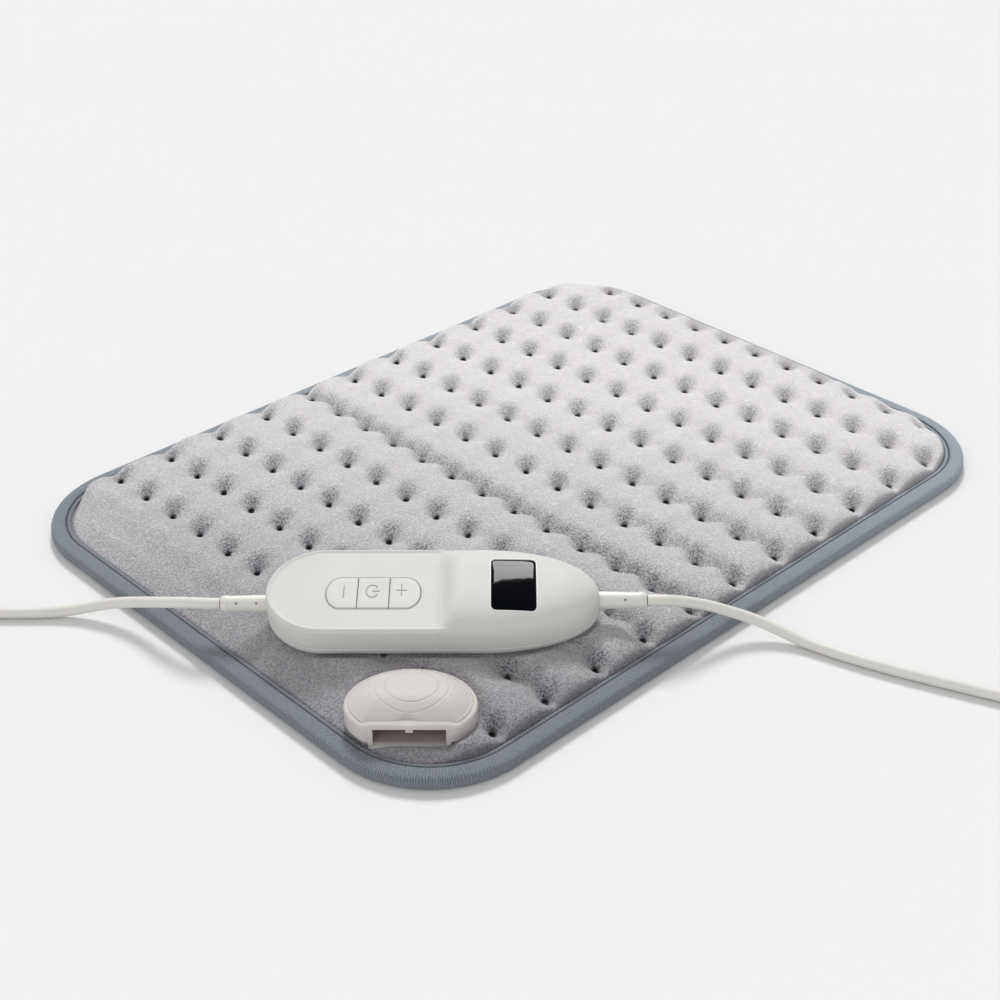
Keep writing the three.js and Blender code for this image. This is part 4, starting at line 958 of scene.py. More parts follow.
@dataclass(frozen=True)
class Finishes:
    """Every finish of the object, made once.

    Attributes:
        effects: The shared effects.
        made: The materials made so far, by the finish's name.
    """

    effects: Effects
    made: dict[str, bpy.types.Material] = field(default_factory=dict)

    PLANS = {
        "casing": Plastic("casing_plastic", srgb(206, 205, 202), srgb(199, 197, 194), 0.45, shine=0.05),
        "housing": Plastic(
            "housing_plastic", srgb(198, 193, 191), srgb(191, 186, 184), 0.45, shine=0.05),
        "keys": Plastic("key_plastic", srgb(207, 206, 203), srgb(199, 198, 195), 0.45, 0.06, shine=0.05),
        "ink": Plastic("printed_ink", srgb(128, 128, 128), srgb(146, 146, 146), 0.6, 0.02),
        "window": Plastic("window_gloss", srgb(3, 5, 8), srgb(5, 7, 9), 0.025, 0.0, shine=0.04),
        "trim": Plastic("window_trim", srgb(228, 228, 226), srgb(214, 213, 210), 0.3, 0.02, shine=0.3),
        "socket": Plastic("socket_plastic", srgb(172, 160, 156), srgb(150, 139, 135), 0.55, 0.1),
        "cord": Plastic("cord_jacket", srgb(215, 213, 207), srgb(204, 202, 196), 0.46, 0.08, shine=0.2),
        "plug": Plastic("plug_plastic", srgb(214, 212, 206), srgb(200, 198, 192), 0.42, 0.08),
        "tie": Plastic("tie_strap", srgb(70, 72, 76), srgb(92, 94, 98), 0.7, 0.3),
        "wire": Plastic("wire_silicone", srgb(196, 84, 64), srgb(176, 74, 58), 0.5, 0.1),
        "dark": Plastic("dark_plastic", srgb(38, 40, 43), srgb(58, 60, 62), 0.5, 0.15),
        "blue": Plastic("relay_plastic", srgb(46, 84, 146), srgb(58, 92, 148), 0.45, 0.1),
        "board": Plastic("board_lacquer", srgb(46, 108, 72), srgb(34, 88, 58), 0.35, 0.12, 0.3, 0.6),
        "steel": Metal("plated_steel", srgb(198, 200, 204), srgb(168, 170, 174), 0.28),
        "brass": Metal("contact_brass", srgb(214, 178, 92), srgb(178, 142, 66)),
        # The plush paints shade in its tufts, beyond them, along its creases and border, and towards the
        # corner near the mouth.
        "plush": Velvet(
            "plush_pile", srgb(253, 250, 249), srgb(92, 89, 98), srgb(245, 241, 243),
            front_shade=0.54, tufts=0.06, fan=0.4, grain_and_front_shade=0.46, seam=0.5, crease=0.9),
        "backing": Velvet(
            "backing_suede", srgb(196, 198, 203), srgb(150, 153, 160), srgb(184, 187, 192),
            fibre=0.6, clump=3.0, depth=0.0003),
        # The binding paints shade towards the corner near the mouth.
        "binding": RibKnit("binding_knit", srgb(180, 191, 202), srgb(85, 97, 112), srgb(38, 44, 54)),
        "felt": Cloth("carrier_felt", srgb(228, 224, 214), srgb(200, 196, 186), 0.5),
    }

    def get(self, name: str) -> bpy.types.Material:
        """The material of a finish, made when it is first asked for."""
        if name not in self.made:
            self.made[name] = self.PLANS[name].make(self.effects)
        return self.made[name]

    def dress(self, obj: bpy.types.Object, finish: str, body: str = ROOT,
              replaces: Sequence[str] = ()) -> bpy.types.Object:
        """Gives a new piece its finish, its body and the nodes it stands for."""
        obj.data.materials.clear()
        obj.data.materials.append(self.get(finish))
        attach(obj, body)
        if replaces:
            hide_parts(*replaces)
        log.info("%s: %d faces", obj.name, len(obj.data.polygons))
        return obj

    def keep(self, node: str, finish: str) -> None:
        """Gives a CAD node that stays its finish."""
        for slot in frame["nodes"][node].material_slots:
            slot.material = self.get(finish)
        log.info("%s keeps its solid", node)


# The cords


@dataclass(frozen=True)
class Coil:
    """The coil of a cord's spare length.

    Attributes:
        turns: Number of turns.
        layers: Number of layers.
        radius: Radius at the middle of its turns.
        handed: 1 where it winds anticlockwise from above, -1 where it winds clockwise.
        spacing: Distance from turn to turn and from layer to layer.
        steps: Points in a turn.
    """

    turns: float
    layers: int
    radius: float
    handed: int
    spacing: float = 5.6
    steps: int = 48

    def points(self, end: np.ndarray, before: np.ndarray,
               diameter: float) -> tuple[np.ndarray, np.ndarray, np.ndarray]:
        """The coil's centreline.

        The angle grows steadily.  The radius goes in and out as a triangle wave, one way
        for each layer, and the height drops a layer in the half turn where it reverses.

        Args:
            end: Last point of the route that leads to the coil.
            before: The point before it.
            diameter: Diameter of the cord.

        Returns:
            The points, the last direction, and the coil's centre.
        """
        heading = math.atan2(end[1] - before[1], end[0] - before[0])
        per_layer = self.turns / self.layers
        swing = per_layer * self.spacing / 2
        turn = np.arange(round(self.turns * self.steps) + 1) / self.steps
        phase = (turn / per_layer) % 2
        fraction = np.where(phase <= 1, phase, 2 - phase)
        radius = self.radius + swing - 2 * swing * fraction
        start = heading - self.handed * math.pi / 2
        angle = start + self.handed * 2 * math.pi * turn
        way = np.array([math.cos(heading), math.sin(heading)])
        centre = end[:2] - radius[0] * np.array([math.cos(start), math.sin(start)]) + way * diameter
        dropped = sum(ease((turn - k * per_layer) * 2 + 0.5) for k in range(1, self.layers))
        height = diameter / 2 + GAP / 3 + (self.layers - 1 - dropped) * self.spacing
        wound = np.column_stack([
            centre[0] + radius * np.cos(angle), centre[1] + radius * np.sin(angle), height])
        last = start + self.handed * (2 * math.pi * self.turns + math.pi / 2)
        last_way = np.array([math.cos(last), math.sin(last), 0.0])
        return np.vstack([wound, wound[-1] + last_way * diameter]), last_way, centre


def smooth_line(route: np.ndarray, steps: int) -> np.ndarray:
    """A smooth curve through points, with speeds that suit the square root of their distances.

    Args:
        route: The points it passes through.
        steps: Steps between two points.

    Returns:
        The points of the curve.
    """
    padded = np.vstack([2 * route[0] - route[1], route, 2 * route[-1] - route[-2]])
    p0, p1, p2, p3 = padded[:-3], padded[1:-2], padded[2:-1], padded[3:]
    t0, t1, t2 = (
        np.sqrt(np.linalg.norm(b - a, axis=1))[:, None] for a, b in ((p0, p1), (p1, p2), (p2, p3)))
    first = ((p1 - p0) / t0 - (p2 - p0) / (t0 + t1) + (p2 - p1) / t1) * t1
    second = ((p2 - p1) / t1 - (p3 - p1) / (t1 + t2) + (p3 - p2) / t2) * t1
    t = (np.arange(steps) / steps)[None, :, None]
    square, cube = -3 * p1 + 3 * p2 - 2 * first - second, 2 * p1 - 2 * p2 + first + second
    a, b, c, d = (array[:, None, :] for array in (p1, first, square, cube))
    curve = a + b * t + c * t ** 2 + d * t ** 3
    return np.vstack([curve.reshape(-1, 3), route[-1]])


def tube(line: np.ndarray, radius: np.ndarray | float, sides: int = 14) -> Shape:
    """A round tube along a line that never stands upright.

    Each ring stands square to the line, between a level side vector and its cross product.
    """
    way = unit(np.gradient(line, axis=0))
    side = unit(np.cross(way, [0.0, 0.0, 1.0]))
    up = np.cross(side, way)
    angle = 2 * math.pi * np.arange(sides) / sides
    size = np.broadcast_to(np.asarray(radius, float), (len(line),))[:, None, None]
    rings = line[:, None] + size * (
        side[:, None] * np.cos(angle)[None, :, None] + up[:, None] * np.sin(angle)[None, :, None])
    return loft(rings)


@dataclass
class Cord:
    """A cord with its coil, the tie round the coil and what ends it.

    Attributes:
        name: Name of the cord's piece.
        nodes: CAD nodes it stands for.
        route: Points of its run, from its strain relief to its coil.
        coil: Its coil.
        tie_angle: Where on the coil the tie sits, in degrees round its centre.
        diameter: Its diameter.
        line: Its whole centreline.
        wound: The part of its centreline that is the coil.
        centre: Middle of the coil.
        last_way: Direction in which it ends.
        length: Its length.
    """

    name: str
    nodes: tuple[str, ...]
    route: tuple[tuple[float, float, float], ...]
    coil: Coil
    tie_angle: float
    diameter: float = 5.0
    line: np.ndarray = field(init=False)
    wound: np.ndarray = field(init=False)
    centre: np.ndarray = field(init=False)
    last_way: np.ndarray = field(init=False)
    length: float = field(init=False)

    def __post_init__(self) -> None:
        """Works out the cord's whole line."""
        route = np.array(self.route, float)
        self.wound, self.last_way, self.centre = self.coil.points(route[-1], route[-2], self.diameter)
        self.line = np.vstack([smooth_line(route, 9), self.wound])
        self.length = float(np.linalg.norm(np.diff(self.line, axis=0), axis=1).sum())

    def end_frame(self) -> Placement:
        """The frame at the cord's end: X along its last direction."""
        x, y, z = self.line[-1]
        return Placement(x, y, z, math.degrees(math.atan2(self.last_way[1], self.last_way[0])))

    def make(self, finishes: Finishes) -> bpy.types.Object:
        """The cord itself."""
        obj = tube(self.line, self.diameter / 2).build(self.name)
        return finishes.dress(obj, "cord", replaces=self.nodes)

    def make_tie(self, finishes: Finishes) -> bpy.types.Object:
        """A flat strap round the turns of the coil.

        The strap follows a rounded rectangle round the turns that pass at the tie's angle;
        its section is a thin band with round edges.
        """
        across = self.wound[:, :2] - self.centre
        angle = math.radians(self.tie_angle)
        outward = np.array([math.cos(angle), math.sin(angle)])
        near = across @ outward > np.linalg.norm(across, axis=1) * math.cos(0.16)
        radius, height = np.linalg.norm(across[near], axis=1), self.wound[near, 2]
        half = self.diameter / 2
        low_r, high_r = radius.min() - half, radius.max() + half
        low_z, high_z = height.min() - half, height.max() + half
        section = rounded(3.2, 0.9, 0.4, 0.0, 3, 2) * np.array([2.6, 1.0])
        loop = rounded(high_r - low_r + 1.4, high_z - low_z + 1.4, half + 0.6, 0.0, 8, 3)
        step = np.roll(loop, -1, axis=0) - np.roll(loop, 1, axis=0)
        normal = unit(np.column_stack([step[:, 1], -step[:, 0]]))
        middle = np.array([(low_r + high_r) / 2, (low_z + high_z) / 2])
        spots = loop[:, None, :] + normal[:, None, :] * section[None, :, 1:2] + middle
        side = np.array([-outward[1], outward[0]])
        flat = self.centre + spots[..., :1] * outward + section[None, :, :1] * side
        rings = np.concatenate([flat, spots[..., 1:]], axis=-1)
        rings[..., 2] = np.maximum(rings[..., 2], 0.05)
        obj = loft(rings, looped=True).build(f"{self.name}_tie")
        return finishes.dress(obj, "tie")

    def declare(self, obj: bpy.types.Object,
                pieces: Sequence[bpy.types.Object]) -> None:
        log.info("%s is %.3f m long", obj.name, self.length * MM)


@dataclass
class EndPlug:
    """What ends a cord: a body moulded round its relief, and for the mains its two pins.

    Attributes:
        frame: The frame at the cord's end.
        relief: Length of the relief.
        thickness: Thickness of the body.
    """

    frame: Placement
    relief: float = 21.0
    thickness: float = 13.7

    def relief_body(self) -> Shape:
        """The relief: a round body with shallow grooves, which widens to the plug and lies flat."""
        end = self.relief + 4.5
        along = np.linspace(GAP, end, 64)
        plain = lerp(2.9, 4.2, (along - GAP) / (end - GAP))
        grooved = 0.28 * np.clip(np.cos(2 * math.pi * (along - 3.2) / 3.6), 0, 1) ** 4
        radius = plain - grooved * (along > 2.0) * (along < self.relief - 1.5)
        body = turned(list(zip(along, radius)), 28)
        body.points[:, 2] += np.interp(body.points[:, 0], along, plain) - 2.35
        return body

    def body(self, rows: Sequence[tuple[float, float, float, float, float]]) -> Shape:
        """A body through rounded sections.

        Args:
            rows: For each section its place, width, thickness, corner share and middle's height.

        Returns:
            The closed body along X.
        """
        spots = np.array(rows, float)
        fine = np.linspace(0, len(spots) - 1, 12 * (len(spots) - 1) + 1)
        base = np.minimum(fine.astype(int), len(spots) - 2)
        share = (fine - base)[:, None]
        sizes = lerp(spots[base], spots[base + 1], share)
        rings = []
        for place, width, thick, corner, middle in sizes:
            flat = rounded(width, thick, thick * corner, 0.0, 10, 4)
            rings.append(np.column_stack([np.full(len(flat), place), flat[:, 0], flat[:, 1] + middle]))
        return loft(np.array(rings))

    def mains(self, finishes: Finishes) -> list[bpy.types.Object]:
        """The two-pin mains plug and its pins."""
        lift = self.thickness / 2 - 2.5
        face = self.relief + 30.0
        shell = self.body([
            (self.relief, 11.0, 9.2, 0.49, 2.1), (self.relief + 3, 15.5, 10.8, 0.48, 2.9),
            (self.relief + 9, 22.4, 12.9, 0.44, 3.95),
            (self.relief + 18, 26.0, self.thickness, 0.4, lift),
            (face - 1.0, 26.0, self.thickness, 0.4, lift),
            (face - 0.2, 25.4, self.thickness - 0.6, 0.4, lift),
            (face, 24.6, self.thickness - 1.4, 0.4, lift)])
        shape = shell.joined(self.relief_body()).placed(self.frame)
        body = shape.build("mains_plug_body", 32)
        pieces = [finishes.dress(body, "plug", replaces=("mains_plug",))]
        for node, place in (("plug_pin_left", 9.3), ("plug_pin_right", -9.3)):
            pin = turned([(face + reach, radius) for reach, radius in (
                (-4.0, 2.0), (17.2, 2.0), (18.2, 1.8), (18.8, 1.3), (19.0, 0.6))], 28)
            obj = pin.moved(0.0, place, lift).placed(self.frame).build(f"{node}_metal")
            pieces.append(finishes.dress(obj, "steel", replaces=(node,)))
        return pieces

    def connector(self, finishes: Finishes) -> bpy.types.Object:
        """The flat connector that fits the pad's housing, with its keyway and its contacts' bores.

        The keyway and the bores are cut from the blade alone, which then joins the grip.
        """
        lift, front = 3.0, self.relief + 22.0
        grip = self.body([
            (self.relief, 15.0, 9.4, 0.48, 2.2), (self.relief + 3, 21.0, 10.2, 0.42, 2.6),
            (self.relief + 7.2, 28.4, 11.0, 0.36, lift), (self.relief + 14.3, 33.0, 11.0, 0.34, lift),
            (front - 0.8, 33.0, 11.0, 0.34, lift), (front, 31.8, 9.8, 0.34, lift)])
        blade = self.body([
            (front - 4, 28.8, 6.9, 0.16, lift), (front + 12.2, 28.8, 6.9, 0.16, lift),
            (front + 13, 28.0, 6.1, 0.16, lift)])
        obj = blade.placed(self.frame).build("connector_body", 32)
        cutters = [box((front, -1.8, lift + 1.65), (front + 14, 1.8, lift + 5)).placed(self.frame)]
        for place in CONTACTS:
            bore = turned([(front + 6.6, 1.1), (front + 14, 1.1)], 16)
            cutters.append(bore.moved(0.0, place, lift).placed(self.frame))
        carve(obj, cutters, 32)
        merge(obj, grip.joined(self.relief_body()).placed(self.frame).build("connector_grip", 32))
        return finishes.dress(obj, "plug", replaces=("connector_plug",))


# The pad


@dataclass
class Inlet:
    """The connector's housing on the pad's corner, in its own frame: A right, B back.

    Attributes:
        place: Its frame.
        half: Half its width.
        back: Reach to the back.
        front: Reach to the front, where the mouth's face cuts it off.
        depth: How far in from its edge the dome reaches its crown.
        face: Distance of the mouth's face from the middle.
        rim: Height of its rim.
        crown: Height of its crown.
        block: Half width of the block round the mouth.
        mouth: The mouth's width.
        floor: Height of the mouth's floor.
        tall: Height of the mouth.
        wall: Thickness of its shell.
    """

    place: Placement = Placement(-166.3, -104.9, 0.0, -44.0)
    half: float = 27.2
    back: float = 23.2
    front: float = 21.0
    depth: float = 14.2
    face: float = 15.5
    rim: float = 16.2
    crown: float = 22.2
    block: float = 16.9
    mouth: float = 29.4
    floor: float = 7.3
    tall: float = 7.8
    wall: float = 1.5

    def inset(self, a: np.ndarray, b: np.ndarray) -> np.ndarray:
        """How far a place lies inside the round outline and its flat face, found by halving."""
        reach = np.where(b > 0, self.back, self.front)

        def within(inset: np.ndarray) -> np.ndarray:
            """Whether each place lies inside the round outline drawn in by an inset."""
            return (a / (self.half - inset)) ** 2 + (b / (reach - inset)) ** 2 < 1

        low, high = np.full(np.shape(a), -60.0), np.full(np.shape(a), self.front - 0.01)
        return np.minimum(deepest(within, low, high), b + self.face)

    def border(self, columns: int) -> np.ndarray:
        """The outline seen from above: round, with a flat face in front and soft corners beside it."""
        angle = 2 * math.pi * (np.arange(columns) + 0.5) / columns
        reach = np.where(np.sin(angle) > 0, self.back, self.front)
        way = np.column_stack([np.cos(angle), np.sin(angle)])
        far = 1 / np.sqrt((way[:, 0] / self.half) ** 2 + (way[:, 1] / reach) ** 2)
        to_face = np.where(way[:, 1] < 0, self.face / np.maximum(-way[:, 1], 0.02), 900.0)
        soft = 0.5
        reach = np.minimum(far, to_face) - soft * np.log1p(np.exp(-np.abs(far - to_face) / soft))
        return way * reach[:, None]

    def top(self, a: np.ndarray, b: np.ndarray) -> np.ndarray:
        """Height of the housing's top.

        A low dome stands a little proud inside a heart-shaped line, which follows the rim and
        dips back at the middle of the front; in front of the line the top falls to the
        mouth's lip.  Two rings, one whole and one open at the back, and ten small ticks
        between them are sunk a little, and the outer edge is rounded.
        """
        round_inset = self.inset(a, b)
        share = np.clip((round_inset - 2.8) / (self.depth - 2.8), 0, 1)
        dome = self.rim + 0.7 + (self.crown - self.rim - 0.7) * (1 - (1 - share) ** 2)
        dome = dome - 0.25 * ease((2.8 - round_inset) / 1.4)
        line = -12.4 - 0.2 * np.cos(a / 5.0) + 2.3 * bell(a + 0.7, 4.4)
        in_front = b - line
        inside = np.where(b < 2, np.minimum(round_inset - 2.1, in_front), round_inset - 2.1)
        edge = np.maximum(round_inset, 0.0)
        fall = np.clip((b + self.face) / (line + self.face), 0, 1)
        apron = self.rim + 0.1 + 1.0 * fall * ease((self.block + 3 - np.abs(a)) / 4) * (b < 0)
        height = lerp(apron, dome, ease((inside + 0.35) / 0.7))
        height = height - 0.34 * bell(inside + 0.3, 0.38)
        height = height - 1.3 * (1 - np.sqrt(np.clip(1 - (1 - np.clip(edge / 1.3, 0, 1)) ** 2, 0, 1)))
        from_middle = np.hypot(a - 0.3, (b - 4.2) / 0.9)
        inner, outer = from_middle - 10.9, from_middle - 15.5
        height = height - 0.34 * bell(inner, 0.3) - 0.3 * bell(outer, 0.3) * ease((9.0 - b) / 5.0)
        angle = np.arctan2(b - 4.2, a - 0.3)
        tick = np.abs(((angle / (2 * math.pi) * 10 + 0.25) % 1) - 0.5) / 10 * 2 * math.pi * 13.2
        tick_mask = bell(inner - 2.3, 0.7) * bell(tick, 0.8) * (0.6 + 0.4 * np.cos(2.4 * a + 1.7 * b))
        return height - 0.3 * tick_mask

    def make_shell(self, finishes: Finishes) -> bpy.types.Object:
        """The top shell: its top over its border, its side walls, and its hollow inside."""
        columns = 336
        border = self.border(columns)
        share = np.concatenate([np.linspace(0.01, 0.9, 78), 1 - 0.1 * np.linspace(1, 0, 22)[1:] ** 1.6])
        flat = border[None] * share[::-1][:, None, None]
        heights = self.top(flat[..., 0], flat[..., 1])
        in_block = (np.abs(border[:, 0]) < self.block + 0.02) & (border[:, 1] < -10.5)
        bottom = np.where(in_block, 7.2, 9.0)
        top_rows = np.concatenate([flat, heights[..., None]], axis=-1)
        walls = [ring(border, lerp(bottom, heights[0], t)) for t in (0.0, 0.5)]
        far = np.linalg.norm(border, axis=1)
        drawn = border * ((far - self.wall) / far)[:, None]
        inner_share = np.array([0.04, 0.3, 0.55, 0.75, 0.9, 1.0])
        inner = drawn[None] * inner_share[:, None, None]
        inner_height = self.top(inner[..., 0], inner[..., 1]) - self.wall
        inner_rows = list(np.concatenate([inner, inner_height[..., None]], axis=-1))
        rings = np.array(inner_rows + [ring(drawn, bottom)] + walls + list(top_rows))
        obj = loft(rings).placed(self.place).build("housing_shell", 34)
        half, low, high, tab = self.mouth / 2, self.floor - 2.0, self.floor + self.tall, 1.5
        outline = np.array([
            [-half, low], [half, low], [half, high], [tab, high], [tab, high - tab], [-tab, high - tab],
            [-tab, high], [-half, high]])
        rows = [np.column_stack([outline[:, 0], np.full(len(outline), b), outline[:, 1]])
                for b in (-self.face - 2, -self.face + 2.4)]
        carve(obj, [loft(np.array(rows)).placed(self.place)], 34)
        return finishes.dress(obj, "housing", replaces=("inlet_top_shell",))

    def make_pins(self, finishes: Finishes) -> None:
        """The four contacts, round pins with round noses."""
        for number, place in enumerate(CONTACTS, start=1):
            pin = turned([(-5.2, 0.25), (-5.05, 0.55), (-4.7, 0.78), (-4.3, 0.8), (3.7, 0.8)], 20)
            x, y, z = pin.points.T
            pin.points = np.column_stack([place - y, x, z + 11.2])
            obj = pin.outward().placed(self.place).build(f"contact_{number}_metal")
            finishes.dress(obj, "brass", replaces=(f"contact_pin_{number}",))


@dataclass
class Controller:
    """The hand controller in its own frame: U along it, V across, W up from its underside.

    Attributes:
        place: Its frame.
        length: Its length.
        width: Its width.
        height: Height of its flat end's rim.
        wall: Thickness of its shells.
        nose: Reach of its long round nose.
        dome: Height of the dome's crown.
        spring: Height from which the dome rises.
        fullness: Power of its section: 2 is an ellipse, more is fuller.
        pad_centre: Place of the three keys along it.
        pad_shift: Place of the keys and the window across it.
        pad_length: Length of the three keys together.
        pad_half: Half their width.
        pad_end: Length of the round end of the two outer keys.
        window_centre: Place of the window along it.
        window_length: Length of the window.
        window_width: Its width.
        axes: Heights of the two strain reliefs, the left one first.
        insides: How far out each relief's collar lies.
    """

    place: Placement = Placement(-117.2, -64.6, 13.689, -43.9, 9.0)
    length: float = 144.0
    width: float = 51.0
    height: float = 16.5
    wall: float = 1.8
    nose: float = 51.12
    dome: float = 22.4
    spring: float = 6.8
    fullness: float = 3.4
    pad_centre: float = -25.49
    pad_shift: float = -2.25
    pad_length: float = 41.04
    pad_half: float = 9.49
    pad_end: float = 6.64
    window_centre: float = 34.5
    window_length: float = 19.58
    window_width: float = 30.4
    axes: tuple[float, float] = (7.6, 9.6)
    insides: tuple[float, float] = (66.0, 64.0)

    # Points of the outline along the nose, along a side and round the back.
    NOSE, SIDE, BACK = 80, 36, 60

    def outline(self, inset: float) -> np.ndarray:
        """The outline drawn in by an inset: a long half ellipse, two sides and a half circle.

        The points mirror each other over the length, so that the last ring closes on itself.
        """
        half = self.width / 2
        nose_centre, round_centre = self.length / 2 - self.nose, -self.length / 2 + half
        angle = math.pi * (np.arange(self.NOSE) + 0.5) / self.NOSE - math.pi / 2
        nose = np.column_stack([
            nose_centre + (self.nose - inset) * np.cos(angle), (half - inset) * np.sin(angle)])
        along = lerp(nose_centre, round_centre, (np.arange(self.SIDE) + 0.5) / self.SIDE)
        side = np.column_stack([along, np.full(len(along), half - inset)])
        angle = math.pi * (np.arange(self.BACK) + 0.5) / self.BACK + math.pi / 2
        back = np.column_stack([
            round_centre + (half - inset) * np.cos(angle), (half - inset) * np.sin(angle)])
        return np.concatenate([nose, side, back, side[::-1] * np.array([1.0, -1.0])])

    def inset(self, u: np.ndarray, v: np.ndarray) -> np.ndarray:
        """How far a place lies inside the outline; below nothing outside it."""
        half = self.width / 2
        nose_centre, round_centre = self.length / 2 - self.nose, -self.length / 2 + half

        def within(inset: np.ndarray) -> np.ndarray:
            """Whether each place lies inside the nose's ellipse drawn in by an inset."""
            across = v / np.maximum(half - inset, 1e-6)
            return ((u - nose_centre) / (self.nose - inset)) ** 2 + across ** 2 < 1

        nose = deepest(within, np.full(np.shape(u), -self.length), np.full(np.shape(u), half))
        flat = half - np.abs(v)
        back = half - np.hypot(u - round_centre, v)
        return np.where(u < round_centre, back, np.where(u < nose_centre, flat, nose))

    def top(self, u: np.ndarray, inset: np.ndarray | float) -> np.ndarray:
        """Height of the top at a place along U and an inset.

        The flat end is a panel inside a thin raised rim over a rounded edge.  The domed end
        is a full arch over the inset, a little lower at the nose.  A smooth step joins them.
        """
        nose_centre = self.length / 2 - self.nose
        crown = self.dome - 1.2 * np.maximum((u - nose_centre) / self.nose, 0) ** 4
        outward = 1 - np.clip(inset / (self.width / 2), 0, 1)
        arch = (1 - outward ** self.fullness) ** (1 / self.fullness)
        domed = self.spring + (crown - self.spring) * arch
        edge = self.height - 1.6 * (1 - np.minimum(inset / 1.4, 1)) ** 2
        panel = edge - 0.4 * ease((inset - 1.4) / 1.4)
        return lerp(panel, domed, ease((u - 2.0) / 8.0))

    def on_top(self, outline: np.ndarray, drop: float) -> np.ndarray:
        """An outline laid on the top and let down by a drop."""
        return ring(outline, self.top(outline[:, 0], self.inset(outline[:, 0], outline[:, 1])) - drop)

    def keypad(self, index: int, inset: float) -> np.ndarray:
        """One key's outline drawn in by an inset: its slice of a pill with elliptical ends."""
        pitch = self.pad_length / 3
        from_u = self.pad_centre - self.pad_length / 2 + index * pitch
        first, last = from_u + 0.15 + inset - GAP, from_u + pitch - 0.15 - inset + GAP
        half, end = self.pad_half - inset, self.pad_end - inset
        shift = np.array([0.0, self.pad_shift])
        if index == 1:
            corners = np.array([[first, -half], [last, -half], [last, half], [first, half]])
            share = (np.arange(24) / 24)[:, None]
            sides = [lerp(a, b, share) for a, b in zip(corners, np.roll(corners, -1, axis=0))]
            return np.concatenate(sides) + shift
        steps = np.arange(1, 24) / 24
        turn = 1 if index == 2 else -1
        near = first if index == 2 else last
        far = self.pad_centre + turn * (self.pad_length / 2 - self.pad_end)
        angle = math.pi * (np.arange(49) / 48) - math.pi / 2
        arc = np.column_stack([far + turn * end * np.cos(angle), turn * half * np.sin(angle)])
        side = lerp(far, near, steps)
        close = np.column_stack([np.full(23, near), turn * lerp(half, -half, steps)])
        return shift + np.concatenate([
            arc, np.column_stack([side, np.full(23, turn * half)]), [[near, turn * half]], close,
            [[near, -turn * half]], np.column_stack([side[::-1], np.full(23, -turn * half)])])

    def whole_pill(self, inset: float) -> np.ndarray:
        """The outline of the three keys together, drawn in by an inset."""
        reach = self.pad_length / 2 - self.pad_end
        angle = math.pi * (np.arange(49) / 48) - math.pi / 2
        ends = [np.column_stack([
            self.pad_centre + side * reach + side * (self.pad_end - inset) * np.cos(angle),
            side * (self.pad_half - inset) * np.sin(angle)]) for side in (1, -1)]
        return np.concatenate(ends) + np.array([0.0, self.pad_shift])

    def window_outline(self, inset: float) -> np.ndarray:
        """The window's outline drawn in by an inset."""
        plan = rounded(self.window_length, self.window_width, 2.4, inset, 8, 14)
        return plan + np.array([self.window_centre, self.pad_shift])

    def relief_holes(self) -> list[Shape]:
        """The round holes for the two strain reliefs."""
        spans = ((-73.0, -self.insides[0]), (self.insides[1], 73.0))
        return [turned([(low, 4.1), (high, 4.1)], 48).moved(0.0, 0.0, axis).placed(self.place)
                for (low, high), axis in zip(spans, self.axes)]

    def closing(self, start: int) -> np.ndarray:
        """Faces that close a ring made from the outline by joining each point to its mirror.

        Args:
            start: Number of the ring's first point.

        Returns:
            The faces, each with two points on either side of the length.
        """
        count, last = self.NOSE + 2 * self.SIDE + self.BACK, self.NOSE - 1
        one = np.arange(self.NOSE // 2, self.NOSE + self.SIDE + self.BACK // 2 - 1)
        return np.stack([one, one + 1, (last - 1 - one) % count, (last - one) % count], axis=-1) + start

    def make_top(self, finishes: Finishes) -> bpy.types.Object:
        """The top shell, with its openings for the keys, the window and the reliefs."""
        half = self.width / 2
        rising = half * (1 - np.cos(np.linspace(0.0, math.pi / 2, 50)))
        bead = np.array([0.1, 0.45, 0.6, 0.85, 1.0, 1.15, 1.3, 1.4, 1.75, 2.1, 2.45, 2.6, 2.8])
        last = half - 0.6
        insets = np.unique(np.round(np.concatenate([rising[rising < last], bead, [last]]), 3))
        outer = [ring(o, self.top(o[:, 0], i)) for i, o in ((i, self.outline(i)) for i in insets)]
        inner = []
        for i in insets[::4]:
            o = self.outline(min(i + self.wall, last))
            inner.append(ring(o, np.maximum(self.top(o[:, 0], i) - self.wall, 6.35)))
        rings = inner[::-1] + [ring(self.outline(self.wall), 6.3), ring(self.outline(0.0), 6.3)] + outer
        shape = loft(np.array(rings), caps=(False, False))
        shape = Shape(shape.points, shape.faces + [
            self.closing(0)[:, ::-1], self.closing((len(rings) - 1) * len(outer[0]))]).outward()
        obj = shape.placed(self.place).build("controller_top", 40)
        pill = loft(np.stack([
            ring(self.whole_pill(0.0), 12.0), ring(self.whole_pill(0.0), 15.75),
            ring(self.whole_pill(-0.45), 16.15), ring(self.whole_pill(-1.0), 17.5)]))
        window = loft(np.stack([ring(self.window_outline(0.0), w) for w in (8.0, 26.0)]))
        carve(obj, [pill.placed(self.place), window.placed(self.place), *self.relief_holes()], 40)
        return finishes.dress(obj, "casing", replaces=("controller_top_shell",))

